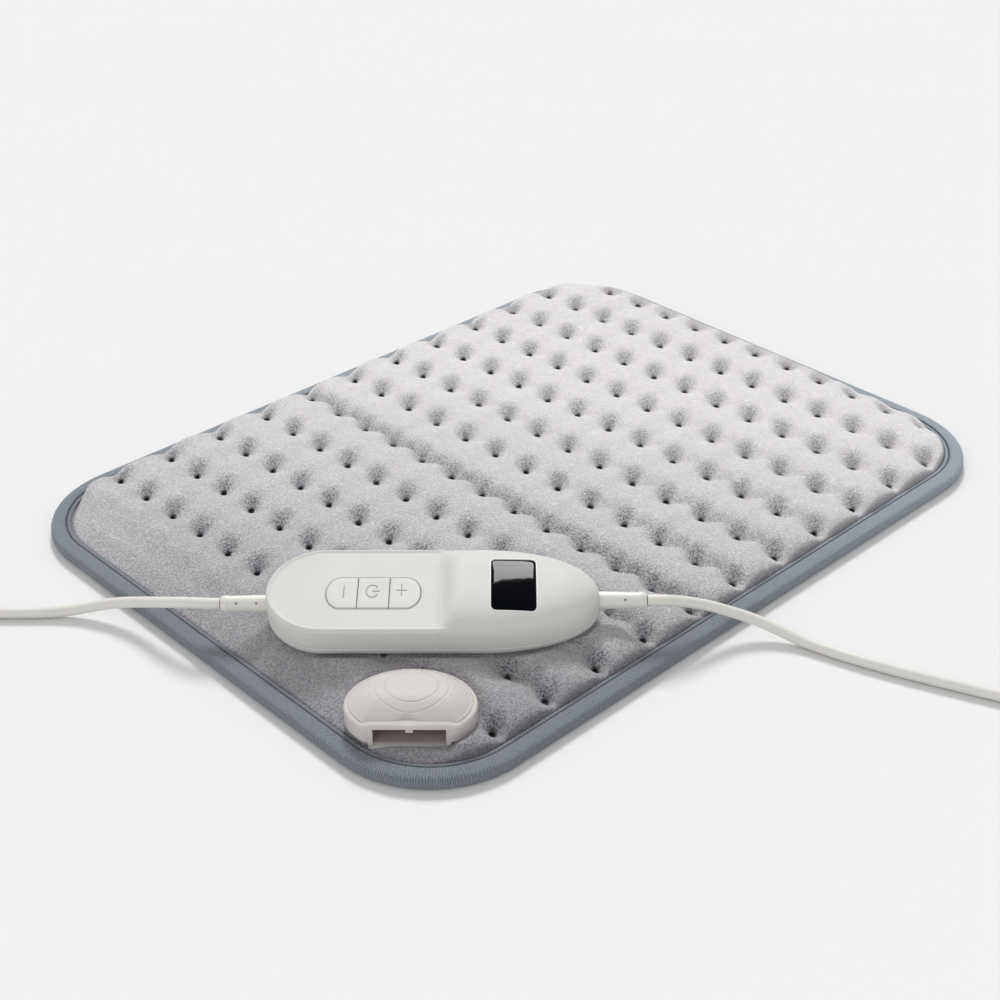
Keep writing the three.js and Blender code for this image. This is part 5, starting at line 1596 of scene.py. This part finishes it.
    def make_bottom(self, finishes: Finishes) -> bpy.types.Object:
        """The bottom shell: a tray with a round underside and four screw bores."""
        angle = np.linspace(0, math.pi / 2, 16)
        rings = [ring(self.outline(5 * (1 - math.sin(t))), 5 * (1 - math.cos(t))) for t in angle]
        rings += [ring(self.outline(i), w) for i, w in (
            (0.0, 5.8), (0.15, 6.0), (self.wall, 6.0), (self.wall + 1.25, 2.5),
            (self.wall + 3.5, self.wall))]
        middle = [ring(self.outline(i), 0.0) for i in (25.47, 21.0, 14.0, 8.0)]
        floor = [ring(self.outline(i), self.wall) for i in (9.0, 15.0, 21.0, 25.47)]
        obj = loft(np.array(middle + rings + floor)).placed(self.place).build("controller_bottom", 40)
        cutters = self.relief_holes()
        for u, v in ((-58.0, 11.0), (-58.0, -11.0), (57.0, 9.0), (57.0, -9.0)):
            bore = turned([(-1.0, 2.8), (2.4, 2.8), (2.4, 1.5), (8.0, 1.5)], 32)
            along, x, y = bore.points.T
            bore.points = np.column_stack([x + u, y + v, along])
            cutters.append(bore.outward().placed(self.place))
        carve(obj, cutters, 40)
        return finishes.dress(obj, "casing", replaces=("controller_bottom_shell",))

    def make_window(self, finishes: Finishes) -> None:
        """The black window with rounded edges, and the thin bright trim round it."""
        rows = [self.on_top(self.window_outline(inset), drop) for inset, drop in (
            (8.5, 1.95), (5.0, 1.95), (2.0, 1.95), (GAP, 1.95), (GAP, 0.55), (GAP + 0.06, 0.33),
            (GAP + 0.2, 0.2), (GAP + 0.42, 0.15))]
        middle = np.array([self.window_centre, self.pad_shift])
        rows += [self.on_top(lerp(self.window_outline(1.5), middle, share), 0.15) for share in (
            0.0, 0.015, 0.03, 0.08, 0.14, 0.2, 0.28, 0.38, 0.48, 0.6, 0.72, 0.84, 0.95)]
        obj = loft(np.array(rows)).placed(self.place).build("window_lens", 50)
        finishes.dress(obj, "window", replaces=("display_window",))
        rows = [self.on_top(self.window_outline(inset), drop) for inset, drop in (
            (-0.05, 0.9), (-0.35, 0.35), (-0.45, 0.02), (-0.3, -0.12), (0.02, -0.1), (0.16, 0.1),
            (0.16, 0.9))]
        trim = loft(np.array(rows), looped=True).placed(self.place).build("window_trim", 60)
        finishes.dress(trim, "trim")

    def make_keys(self, finishes: Finishes) -> None:
        """The three keys with their flanges, stems and printed signs."""
        foot, flange, top, stem_radius = 9.3, 12.99, 16.45, 1.4
        pitch = self.pad_length / 3
        for index, name in enumerate(("minus", "power", "plus")):
            middle = np.array([self.pad_centre + (index - 1) * pitch, self.pad_shift])
            away = self.keypad(index, GAP) - middle
            angle = np.arctan2(away[:, 1], away[:, 0])
            stem = middle + stem_radius * np.column_stack([np.cos(angle), np.sin(angle)])
            rows = [ring(stem, foot), ring(stem, flange)]
            rows += [ring(self.keypad(index, inset), w) for inset, w in (
                (-1.0, flange), (-1.0, flange + 1.0), (GAP, flange + 1.0), (GAP, top - 0.4),
                (GAP + 0.08, top - 0.17), (GAP + 0.25, top - 0.05), (GAP + 0.5, top))]
            rows += [ring(lerp(self.keypad(index, GAP + 0.5), middle, share), top - 0.12 * share)
                     for share in (0.3, 0.6, 0.85)]
            obj = loft(np.array(rows)).placed(self.place).build(f"key_{name}", 40)
            finishes.dress(obj, "keys", f"{name}_key", (f"button_{name}",))
            sign = self.sign(name).placed(self.place).build(f"sign_{name}", 60)
            finishes.dress(sign, "ink", f"{name}_key")

    @staticmethod
    def sign(name: str) -> Shape:
        """A key's sign as flat strokes just over its top: a bar, an open ring with a bar, or a cross."""
        half, sunk, proud = 0.24, 16.28, 16.49

        def stroke(points: np.ndarray) -> Shape:
            """A stroke of even width along points, as one flat section after another."""
            way = unit(np.gradient(points, axis=0))
            side = np.column_stack([-way[:, 1], way[:, 0]]) * half
            edges = [ring(points + turn * side, z) for turn, z in (
                (1, sunk), (1, proud), (-1, proud), (-1, sunk))]
            return loft(np.stack(edges, axis=1))

        def line(u0: float, v0: float, u1: float, v1: float) -> Shape:
            """A straight stroke from one place to another."""
            share = np.linspace(0, 1, 6)[:, None]
            return stroke(lerp(np.array([[u0, v0]]), np.array([[u1, v1]]), share))

        if name == "minus":
            return line(-38.25, -5.4, -38.25, 2.2)
        if name == "plus":
            below, above = line(-13.5, -4.15, -13.5, -0.98), line(-13.5, -0.42, -13.5, 2.75)
            return line(-15.9, -0.7, -11.1, -0.7).joined(below, above)
        angle = np.linspace(0.62, 2 * math.pi - 0.62, 48)
        arc = np.column_stack([-26.0 + 2.6 * np.cos(angle), -1.3 + 3.7 * np.sin(angle)])
        return stroke(arc).joined(line(-25.9, -1.3, -22.9, -1.3))

    def make_reliefs(self, finishes: Finishes) -> None:
        """The two tapered strain reliefs, each with a collar inside, a bead at its tip and marks."""
        for name, turn, inside, axis, places in zip(
                ("left", "right"), (-1.0, 1.0), self.insides, self.axes, ((76.2, 84.9), (82.6,))):
            steps = np.linspace(inside + 0.02, 91.9, 90)
            radius = 3.8 - 0.35 * ease((steps - 72.0) / 18.0)
            radius = radius + 0.28 * bell(steps - 89.6, 0.9) - 0.5 * ease((steps - 90.9) / 1.0)
            collar = [(inside - 2.0, 4.3), (inside - 1.8, 4.6), (inside - 0.2, 4.6), (inside, 4.4)]
            body = turned(collar + list(zip(steps, radius)), 48)
            body.points = body.points * np.array([turn, turn, 1.0])
            obj = body.moved(0.0, 0.0, axis).outward().placed(self.place).build(f"relief_{name}", 40)
            finishes.dress(obj, "plug", replaces=(f"strain_relief_{name}",))
            first, *others = (self.mark(turn * u, axis) for u in places)
            marks = first.joined(*others).placed(self.place).build(f"relief_marks_{name}")
            finishes.dress(marks, "ink")

    @staticmethod
    def mark(u: float, axis: float) -> Shape:
        """A small moulded mark on the front of a strain relief."""
        turn = 2 * math.pi * np.arange(12) / 12
        way = np.array([0.0, -math.cos(0.8), math.sin(0.8)])
        over = np.array([0.0, math.sin(0.8), math.cos(0.8)])
        circle = np.cos(turn)[:, None] * np.array([1.0, 0.0, 0.0]) + np.sin(turn)[:, None] * over
        rows = [np.array([u, 0.0, axis]) + rise * way + radius * circle
                for rise, radius in ((3.1, 0.55), (3.78, 0.55), (3.84, 0.35))]
        return loft(np.array(rows)).outward()


@dataclass(frozen=True, kw_only=True)
class Pad(Quilt):
    """The pad: its plush cover, backing, carrier and binding.

    Attributes:
        controller: The controller that rests on it.
        inlet: The housing on its corner.
        hem_top: Height at which the quilted part of the cover starts.
        strip: Height of the plain strip along its left end.
        tuft: Height of the cover at a tuft, before the pit.
        puff: How far its puffs rise over that.
        crest: Height of the far edges at the left end.
        cell: Size of the cover's mesh.
        height: Height of the binding.
        tape: Thickness of the binding's tape.
    """

    controller: Controller
    inlet: Inlet
    hem_top: float = 5.0
    strip: float = 9.3
    tuft: float = 7.7
    puff: float = 8.8
    crest: float = 10.2
    cell: float = 1.25
    height: float = 6.4
    tape: float = 1.1

    def edge_inset(self, x: np.ndarray, y: np.ndarray) -> np.ndarray:
        """How far a place lies inside the pad's outer edge."""
        dx, dy = np.abs(x) - (self.length / 2 - self.corner), np.abs(y) - (self.width / 2 - self.corner)
        return self.corner - np.where((dx > 0) & (dy > 0), np.hypot(dx, dy), np.maximum(dx, dy))

    def loose(self, x: np.ndarray, y: np.ndarray) -> np.ndarray:
        """The cover's height before anything rests on it.

        It rises from each tuft like a cone, steeper beyond it than before it, and rounds off
        between the tufts.  A shallow valley runs along each column of tufts, deeper towards
        the front.  Along the two far edges it stands a little higher; a plain strip runs along
        the left end; each tuft is a small deep pit; one long scalloped crease, steep on its
        near side, runs through the fifth column and fainter ones through the others, mostly
        near the front; and gentle waves make it uneven.
        """
        inside = self.edge_inset(x, y) - self.cover_inset
        uneven = waves(x, y, 95.0, 4)
        column = (x + 0.35 * waves(x, y, 160.0, 11) - self.first_x) / self.pitch_x
        row = (y + 0.3 * waves(y, x, 150.0, 12)) / self.pitch_y
        strip = lerp(self.hem_top, self.strip + 0.5 * uneven, ease(inside / 13))
        to_column = self.pitch_x / math.pi * np.abs(np.sin(math.pi * np.minimum(column, 11.5)))
        to_row = self.pitch_y / math.pi * np.abs(np.sin(math.pi * np.clip(row, -6.5, 6.5)))
        away = np.hypot(to_column, to_row)
        beyond = 0.7 * self.pitch_x * np.sin(2 * math.pi * column)
        beyond = beyond + 0.72 * self.pitch_y * np.sin(2 * math.pi * row)
        beyond = beyond / (2 * math.pi) / (away + 1.0)
        tufted = self.tuft + self.puff * (1 - np.exp(-away / (9.5 - 3.1 * beyond)))
        tufted = tufted + 0.3 * uneven - 2.0 * bell(away, 1.2)
        tufted = tufted - (1.2 + 1.5 * ease((-y - 20) / 110)) * bell(to_column, 4.2)
        far = ease((0.62 * x / 200 + 0.78 * y / 150 + 0.1) / 0.5)
        crest = self.crest + 2.4 * ease((x - 40) / 160)
        tufted = np.maximum(tufted, crest * far * bell(inside - 2.6, 2.6))
        front = ease((-y - 10) / 100)
        scallop = np.sin(math.pi * row) ** 2
        for which in range(10):
            across = (column - which) * self.pitch_x - self.scallop * scallop
            crease = np.exp(-np.abs(across) / np.where(across < 0, 1.3, 4.5))
            depth = 4.2 if which == self.creased else 0.6 + 2.2 * front * (1 - ease((which - 5) / 5))
            tufted = tufted - depth * crease * (0.2 + 0.8 * scallop)
        share = np.clip(inside / (7.5 - 4.5 * far), 0, 1)
        risen = lerp(self.hem_top, tufted, np.sqrt(1 - (1 - share) ** 2))
        return lerp(strip, risen, ease((column + 1) * 2))

    def top(self, x: np.ndarray, y: np.ndarray) -> np.ndarray:
        """The cover's height: up to the controller it bears, and pressed down where it is in the way."""
        height = self.loose(x, y)
        place = self.controller.place
        normal = place.turn()[:, 2]
        under = place.z - (normal[0] * (x - place.x) + normal[1] * (y - place.y)) / normal[2]
        local = place.back(np.stack([x, y, under], axis=-1))
        outside = np.maximum(-self.controller.inset(local[..., 0], local[..., 1]) + 1.0, 0)
        raised = lerp(height, np.minimum(under - 0.35, 16.4), ease(1 - outside / 10.0))
        height = np.minimum(np.maximum(height, raised), under - 0.35 + 0.85 * outside)
        for side in (-1, 1):
            along, across = side * local[..., 0] - 72.0, local[..., 1]
            axis = self.controller.axes[0 if side < 0 else 1]
            groove = under + axis - 4.5 + 0.5 * np.maximum(np.abs(across) - 2.0, 0)
            groove = groove + 0.6 * np.maximum(along - 22.0, 0)
            height = np.where((along > -4) & (np.abs(across) < 16), np.minimum(height, groove), height)
        at = self.inlet.place.back(np.stack([x, y, np.zeros_like(x)], axis=-1))
        away = np.maximum(-self.inlet.inset(at[..., 0], at[..., 1]) - 0.4, 0)
        to_front = ease((-at[..., 1] - 11.2) / 4.0)
        forward = to_front * ease((self.inlet.block + 3 - np.abs(at[..., 0])) / 3)
        low = lerp(8.7, 6.6, forward)
        rise = lerp(0.85 * away, 0.35 * np.maximum(-at[..., 1] - 15.2, 0), forward)
        return np.minimum(height, low + rise)

    def grid(self, cell: float, inset: float) -> tuple[np.ndarray, np.ndarray]:
        """Places in rows across the pad, each as wide as the pad is there.

        Rows are evenly spaced between the corners and follow the corners' angle beyond;
        a row's half length is the outline's.
        """
        radius = self.corner - inset
        middle = self.width / 2 - self.corner
        straight = max(2, round(2 * middle / cell))
        bend = max(2, round(radius * math.pi / 2 / cell))
        turn = np.linspace(0, math.pi / 2, bend + 1)[1:]
        upper = middle + radius * np.sin(turn)
        rows = np.concatenate([-upper[::-1], np.linspace(-middle, middle, straight + 1), upper])
        reach = self.length / 2 - self.corner + radius * np.concatenate([
            np.cos(turn)[::-1], np.ones(straight + 1), np.cos(turn)])
        count = round((self.length - 2 * inset) / cell)
        share = np.linspace(-1, 1, count + 1)
        across = np.broadcast_to(rows[:, None], (len(rows), count + 1)).copy()
        return reach[:, None] * share[None, :], across

    def hole_distance(self, x: np.ndarray, y: np.ndarray) -> np.ndarray:
        """Distance outside the hole under the connector's housing; below nothing inside it."""
        at = self.inlet.place.back(np.stack([x, y, np.zeros_like(x)], axis=-1))
        a, b = at[..., 0], at[..., 1]
        neck = 2.3 - self.inlet.inset(a, b)
        before = np.maximum(b, -b - self.inlet.face - 0.05)
        block = np.maximum(np.abs(a) - self.inlet.block - 0.1, before)
        return np.minimum(neck, block)

    def layer(self, name: str, cell: float, upper: Callable, lower: float,
              hem: Sequence[tuple[float, float]], holed: bool, upside: bool = True) -> bpy.types.Object:
        """A quilted layer: a fine surface, a hem of rings round it and a flat far side.

        The surface is a height over a grid.  Cells in the hole are left out and the corners
        at its border are moved onto it.  The far side is filled flat between the borders.

        Args:
            name: Name of the piece.
            cell: Size of the grid's cells.
            upper: Height of the fine surface at places x and y.
            lower: Height of the flat side.
            hem: Rings between the two, each an inset from the pad's edge and a height.
            holed: Whether the housing's hole goes through it.
            upside: Whether the fine surface looks up.

        Returns:
            The new object.
        """
        inset = self.cover_inset
        x, y = self.grid(cell, inset)
        rows, columns = x.shape
        kept = np.ones((rows - 1, columns - 1), bool)
        if holed:
            away = self.hole_distance
            inside = away(x, y) < 0
            kept = ~(inside[:-1, :-1] & inside[1:, :-1] & inside[:-1, 1:] & inside[1:, 1:])
            for _ in range(4):
                slope_x, slope_y = slopes(away, x, y, 0.05)
                size = np.maximum(np.hypot(slope_x, slope_y), 0.3)
                move = np.where(inside, away(x, y), 0.0) / size ** 2
                x, y = x - move * slope_x, y - move * slope_y
        points = np.stack([x, y, upper(x, y)], axis=-1).reshape(-1, 3)
        number = np.arange(rows * columns).reshape(rows, columns)
        quads = np.stack([
            number[:-1, :-1], number[:-1, 1:], number[1:, 1:], number[1:, :-1]], axis=-1)[kept]
        used = np.unique(quads)
        renumber = np.full(rows * columns, -1)
        renumber[used] = np.arange(len(used))
        points, quads = points[used], renumber[quads]
        rim = renumber[np.concatenate([
            number[0, :-1], number[:-1, -1], number[-1, :0:-1], number[:0:-1, 0]])]
        border = points[rim, :2]
        middle = np.array([self.length / 2 - self.corner, self.width / 2 - self.corner])
        normal = unit(np.maximum(np.abs(border) - middle, 0) * np.sign(border))
        faces, last = [quads], rim
        index = np.arange(len(rim))
        for ring_inset, height in hem:
            start = len(points)
            flat = border + normal * (inset - ring_inset)
            points = np.concatenate([points, ring(flat, height)])
            following = start + index
            faces.append(np.stack([last, following, np.roll(following, -1), np.roll(last, -1)], axis=-1))
            last = following
        loops = [last]
        if holed:
            loop = self.open_loop(quads, rim)
            start = len(points)
            points = np.concatenate([points, ring(points[loop, :2], lower)])
            following = start + np.arange(len(loop))
            faces.append(np.stack([loop, following, np.roll(following, -1), np.roll(loop, -1)], axis=-1))
            loops.append(following)
        flat_points = [[(*points[k, :2], 0.0) for k in loop] for loop in loops]
        order = np.concatenate(loops)
        fill = order[np.array(tessellate_polygon(flat_points))]
        corner = points[fill]
        turned_up = np.cross(corner[:, 1] - corner[:, 0], corner[:, 2] - corner[:, 0])[:, 2] > 0
        fill[turned_up] = fill[turned_up][:, ::-1]
        faces.append(fill)
        if not upside:
            faces = [array[:, ::-1] for array in faces]
        return Shape(points, faces).build(name, 65)

    @staticmethod
    def open_loop(quads: np.ndarray, rim: np.ndarray) -> np.ndarray:
        """The corners round the hole in a surface, in order, with the hole on the right."""
        edges = np.concatenate([quads[:, [k, (k + 1) % 4]] for k in range(4)])
        size = int(quads.max()) + 1
        forward, backward = edges[:, 0] * size + edges[:, 1], edges[:, 1] * size + edges[:, 0]
        lonely = edges[~np.isin(forward, backward)]
        lonely = lonely[~(np.isin(lonely[:, 0], rim) & np.isin(lonely[:, 1], rim))]
        leads = dict(zip(lonely[:, 0].tolist(), lonely[:, 1].tolist()))
        at = next(iter(leads))
        loop = []
        while at in leads:
            loop.append(at)
            at = leads.pop(at)
        return np.array(loop)

    def make_cover(self, finishes: Finishes) -> bpy.types.Object:
        """The plush top cover with its wadding and its hem under the binding."""
        hem = ((self.cover_inset - 0.05, self.hem_top), (2.6, self.hem_top - 0.05), (2.5, 4.9),
               (2.5, 3.5), (2.6, 3.4), (10.4, 3.4), (10.5, 4.8))
        obj = self.layer("pad_plush", self.cell, self.top, 4.8, hem, True)
        finishes.dress(obj, "plush", replaces=("pad_top_cover",))
        return obj

    def underside(self, x: np.ndarray, y: np.ndarray) -> np.ndarray:
        """Height of the backing's outer face: flat on the table, drawn up a little at each tuft."""
        column, row = (x - self.first_x) / self.pitch_x, y / self.pitch_y
        to_column = (column - np.clip(np.round(column), 0, 11)) * self.pitch_x
        to_row = (row - np.clip(np.round(row), -6, 6)) * self.pitch_y
        inside = ease((self.edge_inset(x, y) - self.cover_inset) / 3)
        return inside * (1.05 * bell(np.hypot(to_column, to_row), 3.2) + 0.12 * bell(to_column, 2.2))

    def make_backing(self, finishes: Finishes) -> bpy.types.Object:
        """The backing under the pad, with its thin hem inside the binding."""
        hem = ((9.8, 1.4), (2.5, 1.4), (2.5, 2.0), (9.8, 2.0))
        obj = self.layer("pad_backing", 2.2, self.underside, 2.0, hem, False, upside=False)
        finishes.dress(obj, "backing", replaces=("pad_bottom_cover",))
        return obj

    def make_carrier(self, finishes: Finishes) -> bpy.types.Object:
        """The thin felt that carries the heating wire."""
        rings = [ring(rounded(self.length, self.width, self.corner, inset, 12, 24), z)
                 for inset, z in ((9.6, 2.3), (9.5, 2.34), (9.5, 2.66), (9.6, 2.7))]
        obj = loft(np.array(rings)).build("wire_felt")
        finishes.dress(obj, "felt", replaces=("wire_carrier",))
        return obj

    def make_binding(self, finishes: Finishes) -> bpy.types.Object:
        """The knit binding folded round the edge, with a stitched groove near its inner edge.

        Its section runs round the tape: under the pad, round the outer edge, over the top
        with the groove, and back along the tape's inner side.
        """
        arc, bend, tape = np.linspace(0, math.pi / 2, 7), 2.6, self.height - self.tape
        section = [(bend - bend * math.sin(t), bend - bend * math.cos(t)) for t in arc]
        section += [(bend - bend * math.cos(t), self.height - bend + bend * math.sin(t)) for t in arc]
        for i in (3.4, 4.4, 5.4, 6.2, 6.8, 7.1, 7.3, 7.45, 7.6, 7.75, 7.9, 8.1, 8.4, 8.8):
            crown, groove = math.sin(math.pi * (i - bend) / 5.6), math.exp(-(((i - 7.6) / 0.45) ** 2))
            section.append((i, self.height + 0.25 * crown - 0.55 * groove))
        section += [(9.25, self.height - 0.08), (9.48, self.height - 0.4), (9.5, tape)]
        section += [
            (6.0, tape), (2.6, tape), (1.55, self.height - 1.55), (1.1, self.height - 2.6),
            (1.1, 2.6), (1.55, 1.55), (2.6, 1.1), (9.5, 1.1), (9.5, 0.0), (6.0, 0.0)]
        rings = [ring(rounded(self.length, self.width, self.corner, inset, 44, 90), z)
                 for inset, z in section]
        obj = loft(np.array(rings), looped=True).build("edge_knit", 50)
        finishes.dress(obj, "binding", replaces=("edge_binding",))
        return obj


# The stage


@dataclass
class Stage:
    """The floor, the lamps, the surroundings and the camera.

    Attributes:
        key: Strength of the sun behind the pad.
        side: Strength of the broad sun near the camera.
        fill: Strength of the surroundings on the object.
        floor: Colour of the floor.
        card: Strength of the card that shows in the window.
        eye: Place of the camera.
        sight: Direction in which it looks.
        lens: Its focal length on film 36 mm wide.
    """

    key: float = 2.25
    side: float = 0.6
    fill: float = 0.62
    floor: Colour = srgb(224, 224, 224)
    card: float = 56.0
    eye: tuple[float, float, float] = (-520.22, -523.78, 457.17)
    sight: tuple[float, float, float] = (0.5877, 0.6093, -0.5324)
    lens: float = 62.244

    def make_camera(self) -> bpy.types.Object:
        """The camera where the photograph was taken from."""
        data = bpy.data.cameras.new("camera")
        data.lens, data.sensor_width = self.lens, 36.0
        data.clip_start, data.clip_end = 0.01, 50.0
        camera = new_object("camera", data)
        forward = unit(np.array(self.sight))
        right = unit(np.cross(forward, [0.0, 0.0, 1.0]))
        matrix = np.eye(4)
        up, eye = np.cross(right, forward), np.array(self.eye) * MM
        matrix[:3] = np.column_stack([right, up, -forward, eye])
        camera.matrix_world = Matrix(matrix.tolist())
        bpy.context.scene.camera = camera
        return camera

    def make_lamps(self) -> None:
        """A sun from behind the pad, a broad weak one from near the camera, and pale surroundings."""
        for name, strength, azimuth, elevation, spread in (
                ("key_sun", self.key, 46.0, 43.0, 14.0), ("side_sun", self.side, 205.0, 30.0, 50.0)):
            data = bpy.data.lights.new(name, "SUN")
            data.energy, data.angle = strength, math.radians(spread)
            turn = (math.radians(90.0 - elevation), 0.0, math.radians(azimuth + 90.0))
            new_object(name, data).rotation_euler = turn
        world = bpy.data.worlds.new("studio")
        bpy.context.scene.world = world
        world.use_nodes = True
        world.node_tree.nodes.clear()
        g = Graph(world.node_tree)
        path = g.node("ShaderNodeLightPath")
        seen = g.math("MAXIMUM", path.outputs["Is Camera Ray"], path.outputs["Is Transmission Ray"])
        lit = g.node("ShaderNodeBackground", {"Color": (1.0, 1.0, 1.0), "Strength": self.fill})
        shown = g.node("ShaderNodeBackground", {"Color": srgb(242, 242, 242), "Strength": 1.0})
        mixed = g.node("ShaderNodeMixShader", {0: seen, 1: lit.outputs[0], 2: shown.outputs[0]})
        g.node("ShaderNodeOutputWorld", {0: mixed.outputs[0]})

    def make_card(self, controller: Controller) -> bpy.types.Object:
        """A bright card that shows as a band with a wavy lower edge in the display's window.

        It is laid out backwards: each place of the band on the window sends the camera's
        line of sight off to a place of the card.  It lights nothing else.

        Args:
            controller: The controller with the window.

        Returns:
            The card.
        """
        count, reach = 25, 900.0
        u = np.linspace(20.0, 49.0, count)
        lower = 1.0 - 4.4 * np.exp((24.7 - np.maximum(u, 24.7)) / 4.5) + 0.3 * np.sin(1.1 * u)
        u, v = np.concatenate([u, u]), np.concatenate([np.full(count, 7.8), lower])

        def height(at_u: np.ndarray, at_v: np.ndarray) -> np.ndarray:
            """Height of the controller's top."""
            return controller.top(at_u, controller.inset(at_u, at_v))

        slope_u, slope_v = slopes(height, u, v, 0.2)
        normal = unit(np.column_stack([-slope_u, -slope_v, np.ones_like(u)]) @ controller.place.turn().T)
        spot = controller.place.out(np.column_stack([u, v, height(u, v)]))
        sight = unit(spot - np.array(self.eye))
        bounced = sight - 2 * (sight * normal).sum(axis=1)[:, None] * normal
        k = np.arange(count - 1)
        quads = np.stack([k, k + 1, k + count + 1, k + count], axis=-1)
        obj = Shape(spot + reach * bounced, [quads]).build("window_card")
        material, g, glow = new_material("card_glow", "ShaderNodeEmission")
        g.feed(glow, {"Color": (1.0, 1.0, 1.0), "Strength": self.card})
        obj.data.materials.append(material)
        obj.visible_camera = obj.visible_diffuse = obj.visible_shadow = False
        return obj

    def make_floor(self) -> bpy.types.Object:
        """The pale floor the pad lies on."""
        x, z = 4000.0, -0.02
        corners = np.array([[-x, -x, z], [x, -x, z], [x, x, z], [-x, x, z]])
        obj = Shape(corners, [np.array([[0, 1, 2, 3]])]).build("floor")
        material, g, shader = new_material("floor_paper")
        darker = tuple(part * 0.995 for part in self.floor)
        g.feed(shader, {
            "Base Color": g.blend(g.noise(6.0, 3.0), self.floor, darker),
            "Roughness": 1.0,
            "Specular IOR Level": 0.0,
        })
        obj.data.materials.append(material)
        return obj


# The cords' runs, from the strain relief over the pad's edge to the coil.
MAINS_ROUTE = (
    (-184.54, -1.46, 21.2), (-187.5, 1.5, 21.2), (-190.6, 5.4, 21.0), (-193.6, 10.4, 20.2),
    (-196.2, 16.4, 18.5), (-198.5, 23.2, 16.2), (-200.7, 30.4, 13.7), (-203.4, 37.6, 11.3),
    (-206.9, 44.6, 9.2), (-211.4, 51.0, 7.1), (-216.8, 57.0, 5.1), (-223.0, 62.8, 3.5),
    (-230.0, 69.0, 2.7), (-237.6, 76.0, 2.6), (-246.0, 84.2, 2.6), (-255.2, 93.2, 3.2),
    (-264.4, 102.2, 5.6), (-273.2, 111.0, 9.7), (-281.6, 119.4, 14.3), (-289.7, 127.5, 18.0),
    (-297.5, 135.3, 19.4),
)
LEAD_ROUTE = (
    (-51.73, -129.69, 23.18), (-48.8, -132.4, 23.1), (-44.9, -135.5, 22.7), (-39.9, -138.7, 21.4),
    (-34.0, -142.0, 19.1), (-27.4, -145.7, 16.1), (-20.9, -150.2, 12.6), (-15.1, -155.9, 9.7),
    (-10.4, -162.8, 7.0), (-6.9, -170.8, 4.7), (-4.2, -179.4, 3.1), (-1.6, -188.8, 2.6),
    (1.6, -199.8, 2.6), (5.8, -212.2, 2.6), (11.0, -225.8, 2.6), (17.2, -240.8, 2.6),
    (24.2, -257.2, 2.6), (31.4, -273.8, 2.9), (38.0, -289.0, 4.8), (43.7, -302.1, 7.2),
    (48.5, -313.1, 8.2),
)

# The CAD nodes that stay as they are, by their finish.
KEPT_NODES = {
    "wire": ("heating_wire",),
    "casing": ("inlet_base",),
    "socket": ("socket_insert",),
    "steel": ("inlet_screw_left", "inlet_screw_right", "shell_screw_1", "shell_screw_2",
              "shell_screw_3", "shell_screw_4", "board_fuse"),
    "dark": ("thermal_cutout", "display_module", "filter_capacitor", "tact_switch_minus",
             "tact_switch_power", "tact_switch_plus"),
    "board": ("circuit_board",),
    "blue": ("relay",),
}


def make_cords(finishes: Finishes) -> None:
    mains = Cord(
        "mains_lead", ("mains_cord", "mains_cord_coil"), MAINS_ROUTE, Coil(8.375, 4, 27.5, -1), 60.0)
    lead = Cord("pad_cable", ("pad_lead", "pad_lead_coil"), LEAD_ROUTE, Coil(1.5, 2, 25.0, 1), 150.0)
    mains_obj, lead_obj = mains.make(finishes), lead.make(finishes)
    plug_pieces = EndPlug(mains.end_frame()).mains(finishes)
    connector = EndPlug(lead.end_frame()).connector(finishes)
    mains.declare(mains_obj, [*plug_pieces, mains.make_tie(finishes)])
    lead.declare(lead_obj, [connector, lead.make_tie(finishes)])


def main() -> None:
    """Builds the stage, the cords, the pad, the housing and the controller, in that order."""
    logging.basicConfig(level=logging.INFO, format="%(name)s: %(message)s")
    bpy.context.scene.view_settings.view_transform = "Standard"
    stage = Stage()
    stage.make_camera()
    finishes = Finishes(Effects())
    make_cords(finishes)
    stage.make_lamps()
    stage.make_floor()
    inlet, controller = Inlet(), Controller()
    stage.make_card(controller)
    pad = Pad(controller=controller, inlet=inlet)
    for make in (pad.make_cover, pad.make_backing, pad.make_carrier, pad.make_binding,
                 inlet.make_shell, inlet.make_pins, controller.make_top, controller.make_bottom,
                 controller.make_window, controller.make_keys, controller.make_reliefs):
        make(finishes)
    for finish, nodes in KEPT_NODES.items():
        for node in nodes:
            finishes.keep(node, finish)


if __name__ == "__main__":
    main()
